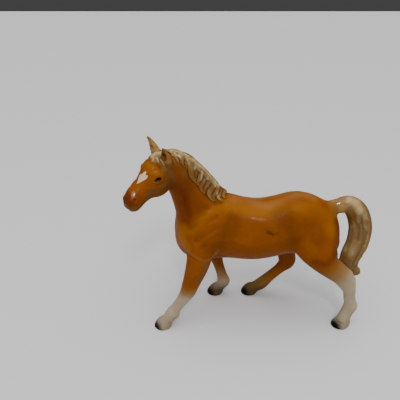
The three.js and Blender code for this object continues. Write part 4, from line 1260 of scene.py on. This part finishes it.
# The crest, from the poll to the withers
CREST_OUTSIDE = 0.09
crest_line = []
for along in np.linspace(1.08, 0.30, 15):
    place = neck_root + along * NECK[0] * neck_rise + neck_bend_share * along ** 2 * NECK[0] * LEFT
    hit = body_tree.ray_cast(Vector(place + CREST_OUTSIDE * neck_crest), Vector(-neck_crest))[0]
    crest_line.append(np.array(hit))
MANE_ROLL = np.array([0.0052, 0.0018, 0.005])  # half across, above and below the crest
MANE_ROLL_LIFT = 0.0006
fullness = np.interp(range(len(crest_line)), [0, 2, 6, 9, 12, 14], [0.75, 1, 1.3, 1.2, 1.1, 0.5])
crest_roll = swept([
    (*(place + MANE_ROLL_LIFT * neck_crest), *(full * MANE_ROLL))
    for place, full in zip(crest_line, fullness)
], -LEFT)

# Each lock down the left of the neck, top to tip in pixels of the photo, and its half width in mm
mane_px = [
    ([(165, 151), (169, 152), (174, 155), (177, 159), (179, 165)], 3.4),
    ([(170, 150), (177, 153), (181, 158), (182, 163), (184.5, 168)], 4.2),
    ([(176, 150.5), (184, 155), (187, 161), (187.5, 167), (191, 173)], 4.6),
    ([(182, 153), (190, 160), (191, 168), (192, 176), (197.5, 184.7)], 5.0),
    ([(188, 156.5), (195, 164), (195, 172), (194, 178), (199, 185)], 4.4),
    ([(193, 160), (199.5, 168), (200, 176), (198, 183), (200.5, 188)], 4.2),
    ([(197, 163), (203.5, 171.5), (203.5, 180), (201, 187), (204.3, 194.5)], 4.6),
    ([(201, 165.5), (208, 175), (207, 184), (204, 190), (205.5, 195)], 4.0),
    ([(206, 169), (212, 178), (212, 187), (209.5, 194), (214.6, 203)], 5.0),
    ([(211, 174), (216.5, 183), (216, 191), (213, 197), (216.5, 202.5)], 4.2),
    ([(216, 179), (220, 186.5), (219, 193.5), (218, 198), (222.5, 201)], 4.4),
    ([(219.5, 184.5), (223.5, 190.5), (223, 195), (224.5, 198), (228, 196.5)], 3.3),
]
guides = []
share = np.linspace(0, 1, LOCK_STEPS)
for number, (pixels, half_width) in enumerate(mane_px):
    path = seen_at(pixels)
    path = smooth_path(np.vstack([path[0] - 5 * MM * LEFT + 0.5 * MM * neck_crest, path]), LOCK_STEPS)
    wide = half_width * MM * np.clip(1.2 * (1 - share ** 2.2), 0.08, 1) * np.clip(0.6 + 2 * share, 0, 1)
    lift = 0.2 + 1.7 * (1 - share) ** 0.6 + 0.9 * (number % 2) * np.sin(np.pi * share)
    guides.append((*pressed(path, body_tree, lift * MM), wide))
# Short locks on the right of the crest, all swept back
for number, top in enumerate(crest_line[1:-1]):
    sweep, fall = (4 + 2 * np.sin(2.3 * number)) * MM, (10 + 3 * np.sin(1.7 * number)) * MM
    line = np.array([top, top - 5 * MM * LEFT - 1.5 * MM * neck_crest,
                     top - 9 * MM * LEFT - fall / 2 * neck_crest - 0.4 * sweep * neck_rise,
                     top - 9 * MM * LEFT - fall * neck_crest - sweep * neck_rise])
    lift = (0.3 + 1.6 * (1 - share) ** 0.5) * MM
    wide = 4.2 * MM * np.clip(1.2 * (1 - share ** 2.6), 0.1, 1)
    guides.append((*pressed(smooth_path(line, LOCK_STEPS), body_tree, lift), wide))
MANE_ROOM = ((-0.098, -0.026, 0.136), (-0.012, 0.02, 0.219))
locks = rolled("mane locks", guides, 4, 0.07, 0.45)
skin = relaxed(*hair_clay(MANE_ROOM, HAIR_CELL, (crest_roll, 1.5 * MM), (locks, 1.5 * MM)).skin(), 12)
mane_strokes_px = [
    ("bright", 0.58, 6.0, [(171, 150), (178, 151), (186, 155.5), (192, 159), (198, 164), (204, 169),
                           (210, 175.5), (218, 185)]),
    ("bright", 0.55, 3.2, [(187.5, 159), (188.5, 163.5)], [(195.5, 163.5), (195, 169)],
     [(202.4, 171.5), (202, 176), (200.8, 180)], [(208.6, 173), (207.6, 179)], [(212.8, 177), (214, 181)],
     [(214.5, 182), (215.3, 186)], [(217.4, 193), (218, 196.6), (220.5, 199.3), (223, 199.8)],
     [(175, 153), (180, 156.5)]),
    ("orange", 0.7, 4.8, [(186.5, 166), (189.5, 172), (193, 178)], [(193.8, 172), (195, 176), (196.5, 180)],
     [(202, 184), (204.5, 191)], [(210, 187.5), (213.3, 191.5), (215.3, 199)],
     [(222, 189), (224, 193), (226.5, 196)], [(199, 183), (201.5, 188)], [(181, 161), (183.5, 166)]),
    ("orange", 0.35, 4.0, *(pixels[-2:] for pixels, half_width in mane_px)),
    ("hollow", 0.8, 2.2, [(199, 174), (200.3, 181)], [(209.3, 181), (206, 188)],
     [(186.3, 162), (187, 165.5)], [(193.3, 162), (192.6, 166)], [(219, 187), (219.6, 192)],
     [(184, 157.5), (184.6, 161)], [(211.5, 176), (212, 180)]),
]
hair_shown("mane", skin, HAIR_CELL, tree_of(skin), mane_strokes_px)

# Forelock. Flat locks of clay pressed on between the ears and fanned over the forehead, painted
# as the mane is.
FORELOCK_CELL = 0.35 * MM
EAR_CLEAR = 0.0002
forelock_px = [
    ([(157, 150.5), (152.5, 154), (151.4, 159.5), (154.5, 166)], 3.9),
    ([(158.5, 151.5), (156, 155), (156.7, 161), (161.3, 169.3)], 4.0),
    ([(159, 152.5), (159.8, 157), (161.6, 162), (166.3, 166.6)], 3.4),
    ([(155, 151.5), (150.5, 154.5), (148.6, 158.5)], 2.8),
    ([(158, 151), (155, 155), (157.2, 161.5)], 3.4),
    ([(159.6, 153), (161.4, 157), (161.6, 161)], 2.6),
]
guides = []
for number, (pixels, half_width) in enumerate(forelock_px):
    path = smooth_path(np.vstack([on_head(-0.12, 0, 0.1), seen_at(pixels)]), LOCK_STEPS)
    wide = half_width * MM * np.clip(1.25 * (1 - share ** 3), 0.12, 1)
    lift = (0.1 + 0.6 * (1 - share) + 0.3 * (number % 2)) * MM
    guides.append((*pressed(path, body_tree, lift), wide))
locks = rolled("forelock locks", guides, 4, 0.05, 0.36)
FORELOCK_ROOM = ((-0.118, -0.032, 0.188), (-0.078, 0.008, 0.223))
clay = hair_clay(FORELOCK_ROOM, FORELOCK_CELL, (locks, 1.0 * MM))
clay.field = np.maximum(clay.field, EAR_CLEAR - clay.form(*ear_forms[-1][0]))
skin = relaxed(*clay.skin(), 6)
forelock_strokes_px = [
    ("bright", 0.66, 7.0, [(152, 156), (156, 152.5), (161, 153)]),
    # Painted highlights: short cream streaks where the locks catch the light.
    ("bright", 0.6, 2.2, [(153.2, 157), (152.8, 161)], [(157, 158), (158.3, 162)],
     [(161, 160), (164.5, 165)]),
    ("orange", 1.0, 3.5, [(149, 158), (150, 162)], [(150.5, 164), (154, 168)], [(157.3, 164), (159.8, 168)]),
    ("hollow", 0.8, 1.6, [(156.6, 160), (157.4, 163.5), (159.6, 167)], [(161.3, 162), (162.3, 166)],
     [(160, 153.5), (160.3, 157)]),
]
hair_shown("forelock", skin, FORELOCK_CELL, tree_of(skin), forelock_strokes_px)

# Tail casting. Arched, solid, with the hair modelled in a few broad locks, stuck on at the dock
# and at the left hock.
TAIL_LOCKS = 6
TAIL_LOCK_STEPS = 60
TAIL_LOCK_HALF_WIDTH = 0.0058
FREE_LOCK_STEPS = 30
TAIL_SIGHT = np.linspace(0.2, 0.7, 501)
NOTCH_PX = [(361.5, 261.5), (361, 264)]
NOTCH_DEPTH = 0.0028
NOTCH_REACH = 0.0055


def seen_by(pixels, line):
    """The points that show at pixels of the photo and lie nearest to a line of points."""
    found = []
    for x, y in pixels:
        on_ray = np.array(CAMERA_PLACE) + TAIL_SIGHT[:, None] * np.array(sight(x, y))
        found.append(on_ray[distance_to(on_ray, line).argmin()])
    return np.array(found)


tail_tree = tree_of(tail_form)
tail_ways = np.hstack([tail_path[:, :5], *path_axes(tail_path[:, :3], -LEFT)])
share = np.linspace(0, 1, TAIL_LOCK_STEPS)
at = tail_start - 2 + share * (len(tail_path) - 1 - tail_start)
here = np.stack([np.interp(at, np.arange(len(tail_path)), values) for values in tail_ways.T], 1)
middle, half_across, half_up, side_way, up_way = np.split(here, [3, 4, 5, 8], 1)
guides = []
for k in range(TAIL_LOCKS):
    phase = 2 * np.pi * (k + 0.5) / TAIL_LOCKS + 0.30 * np.sin(5.5 * share + 2.4 * k) + 0.7 * share
    c, s = np.cos(phase)[:, None], np.sin(phase)[:, None]
    centre = middle + (0.52 + 0.09 * c) * (c * half_across * side_way + s * half_up * up_way)
    wide = TAIL_LOCK_HALF_WIDTH * np.clip(0.3 + 3 * share, 0, 1) * np.clip(1.6 * (1 - share ** 4), 0.1, 1)
    guides.append((centre, unit(c * side_way + s * up_way), wide))
# Locks that stand out from the tail in the photo: pixels, half width in mm, whether off the tail
tail_px = [
    ([(344, 203), (351, 205), (356, 210.5), (358, 220), (357, 231)], 3.2, False),
    ([(362, 207), (364.4, 213), (366.2, 219), (368.2, 225), (368.8, 231), (367.2, 239), (364.2, 248),
      (359.5, 256)], 2.7, True),
    ([(352, 216), (354.5, 226), (353.5, 238), (349, 250)], 3.4, False),
    ([(349, 256), (353, 263), (355.9, 269), (356.9, 275.2)], 4.0, True),
]
share = np.linspace(0, 1, FREE_LOCK_STEPS)
for pixels, half_width, beside in tail_px:
    if beside:
        path = smooth_path(seen_by(pixels, tail_path[:, :3]), FREE_LOCK_STEPS)
        out = unit(np.array(CAMERA_PLACE) - path)
        round_end = np.sqrt(np.clip(1 - np.clip(share - 0.82, 0, 1) ** 2 / 0.18 ** 2, 0.02, 1))
        wide = half_width * MM * np.clip(0.5 + 3 * share, 0, 1) * round_end
    else:
        lift = -(1.0 + 1.4 * (2 * share - 1) ** 4) * MM
        path = smooth_path(seen_at(pixels, tail_tree), FREE_LOCK_STEPS)
        path, out = pressed(path, tail_tree, lift)
        wide = half_width * MM * np.clip(0.2 + 3 * share, 0, 1) * np.clip(3.4 * (1 - share), 0.65, 1)
    guides.append((path, out, wide))
locks = rolled("tail locks", guides, 4, 0.05, 0.6)
TAIL_ROOM = ((0.07, -0.028, 0.055), (0.134, 0.016, 0.162))
skin = relaxed(*hair_clay(TAIL_ROOM, HAIR_CELL, (tail_form, 3 * MM), (locks, 4 * MM)).skin(), 14)
notch = fade(distance_to(skin[0], seen_at(NOTCH_PX, tree_of(skin))), NOTCH_REACH)
skin = relaxed(skin[0] - NOTCH_DEPTH * notch[:, None] * normals_of(*skin), skin[1], 12)
tail_strokes_px = [
    ("orange", 0.8, 6, [(336, 209), (345, 210), (350, 214), (351, 222)]),
    ("orange", 0.5, 5, [(342, 258), (347, 256)]),
    ("orange", 0.35, 11, [(332, 204), (338, 204)]),
    ("gloss", 1.0, 4.2, [(349.2, 199.8), (348.4, 203), (346.4, 205.6)]),
    ("bright", 0.62, 12, [(350, 199.5), (356, 203), (360, 210)]),
    ("bright", 0.4, 11, [(356, 243), (353, 250), (348, 257)]),
    # Painted light: cream along the inner side of the tail, where the body shades it.
    ("bright", 0.42, 8, [(351.5, 222), (351, 231), (348.5, 241), (345, 250)]),
    ("bright", 0.42, 7, [(364.5, 214), (367, 223), (368.5, 232), (366.5, 242), (361, 254), (357.5, 270)]),
    ("hollow", 0.7, 2.8, [(361.5, 203), (364.5, 213)], [(366.5, 220), (368.3, 230)],
     [(351.5, 205.5), (356, 209.5)], [(353.5, 235), (355.5, 237.5)], [(346, 258), (349, 260)],
     [(352.5, 262), (354, 266)]),
]
TAIL_ROOT_REACH = 0.017
tail_root = [("root", tail_path[:tail_start + 3, :3], 1.0, TAIL_ROOT_REACH)]
hair_shown("tail_casting", skin, HAIR_CELL, tail_tree, tail_strokes_px, tail_root)

# Legs. Solid, cast in pairs, each from the forearm or the gaskin down with its hoof standing flat
# on the shelf, stuck with slip under the body casting.
leg_rooms = {
    "fore_leg_left": ((-0.115, -0.045, -0.003), (-0.035, 0.0, 0.098)),
    "fore_leg_right": ((-0.06, 0.003, -0.003), (-0.01, 0.046, 0.098)),
    "hind_leg_left": ((0.045, -0.045, -0.003), (0.128, 0.001, 0.108)),
    "hind_leg_right": ((-0.01, 0.003, -0.003), (0.075, 0.046, 0.112)),
}
for name, room in leg_rooms.items():
    in_hoof = hoof_middles[name] + (0, 0, 4 * MM)
    cast(name, room, 0.5 * MM, in_hoof, [leg_cuts[name]], feet=[name])
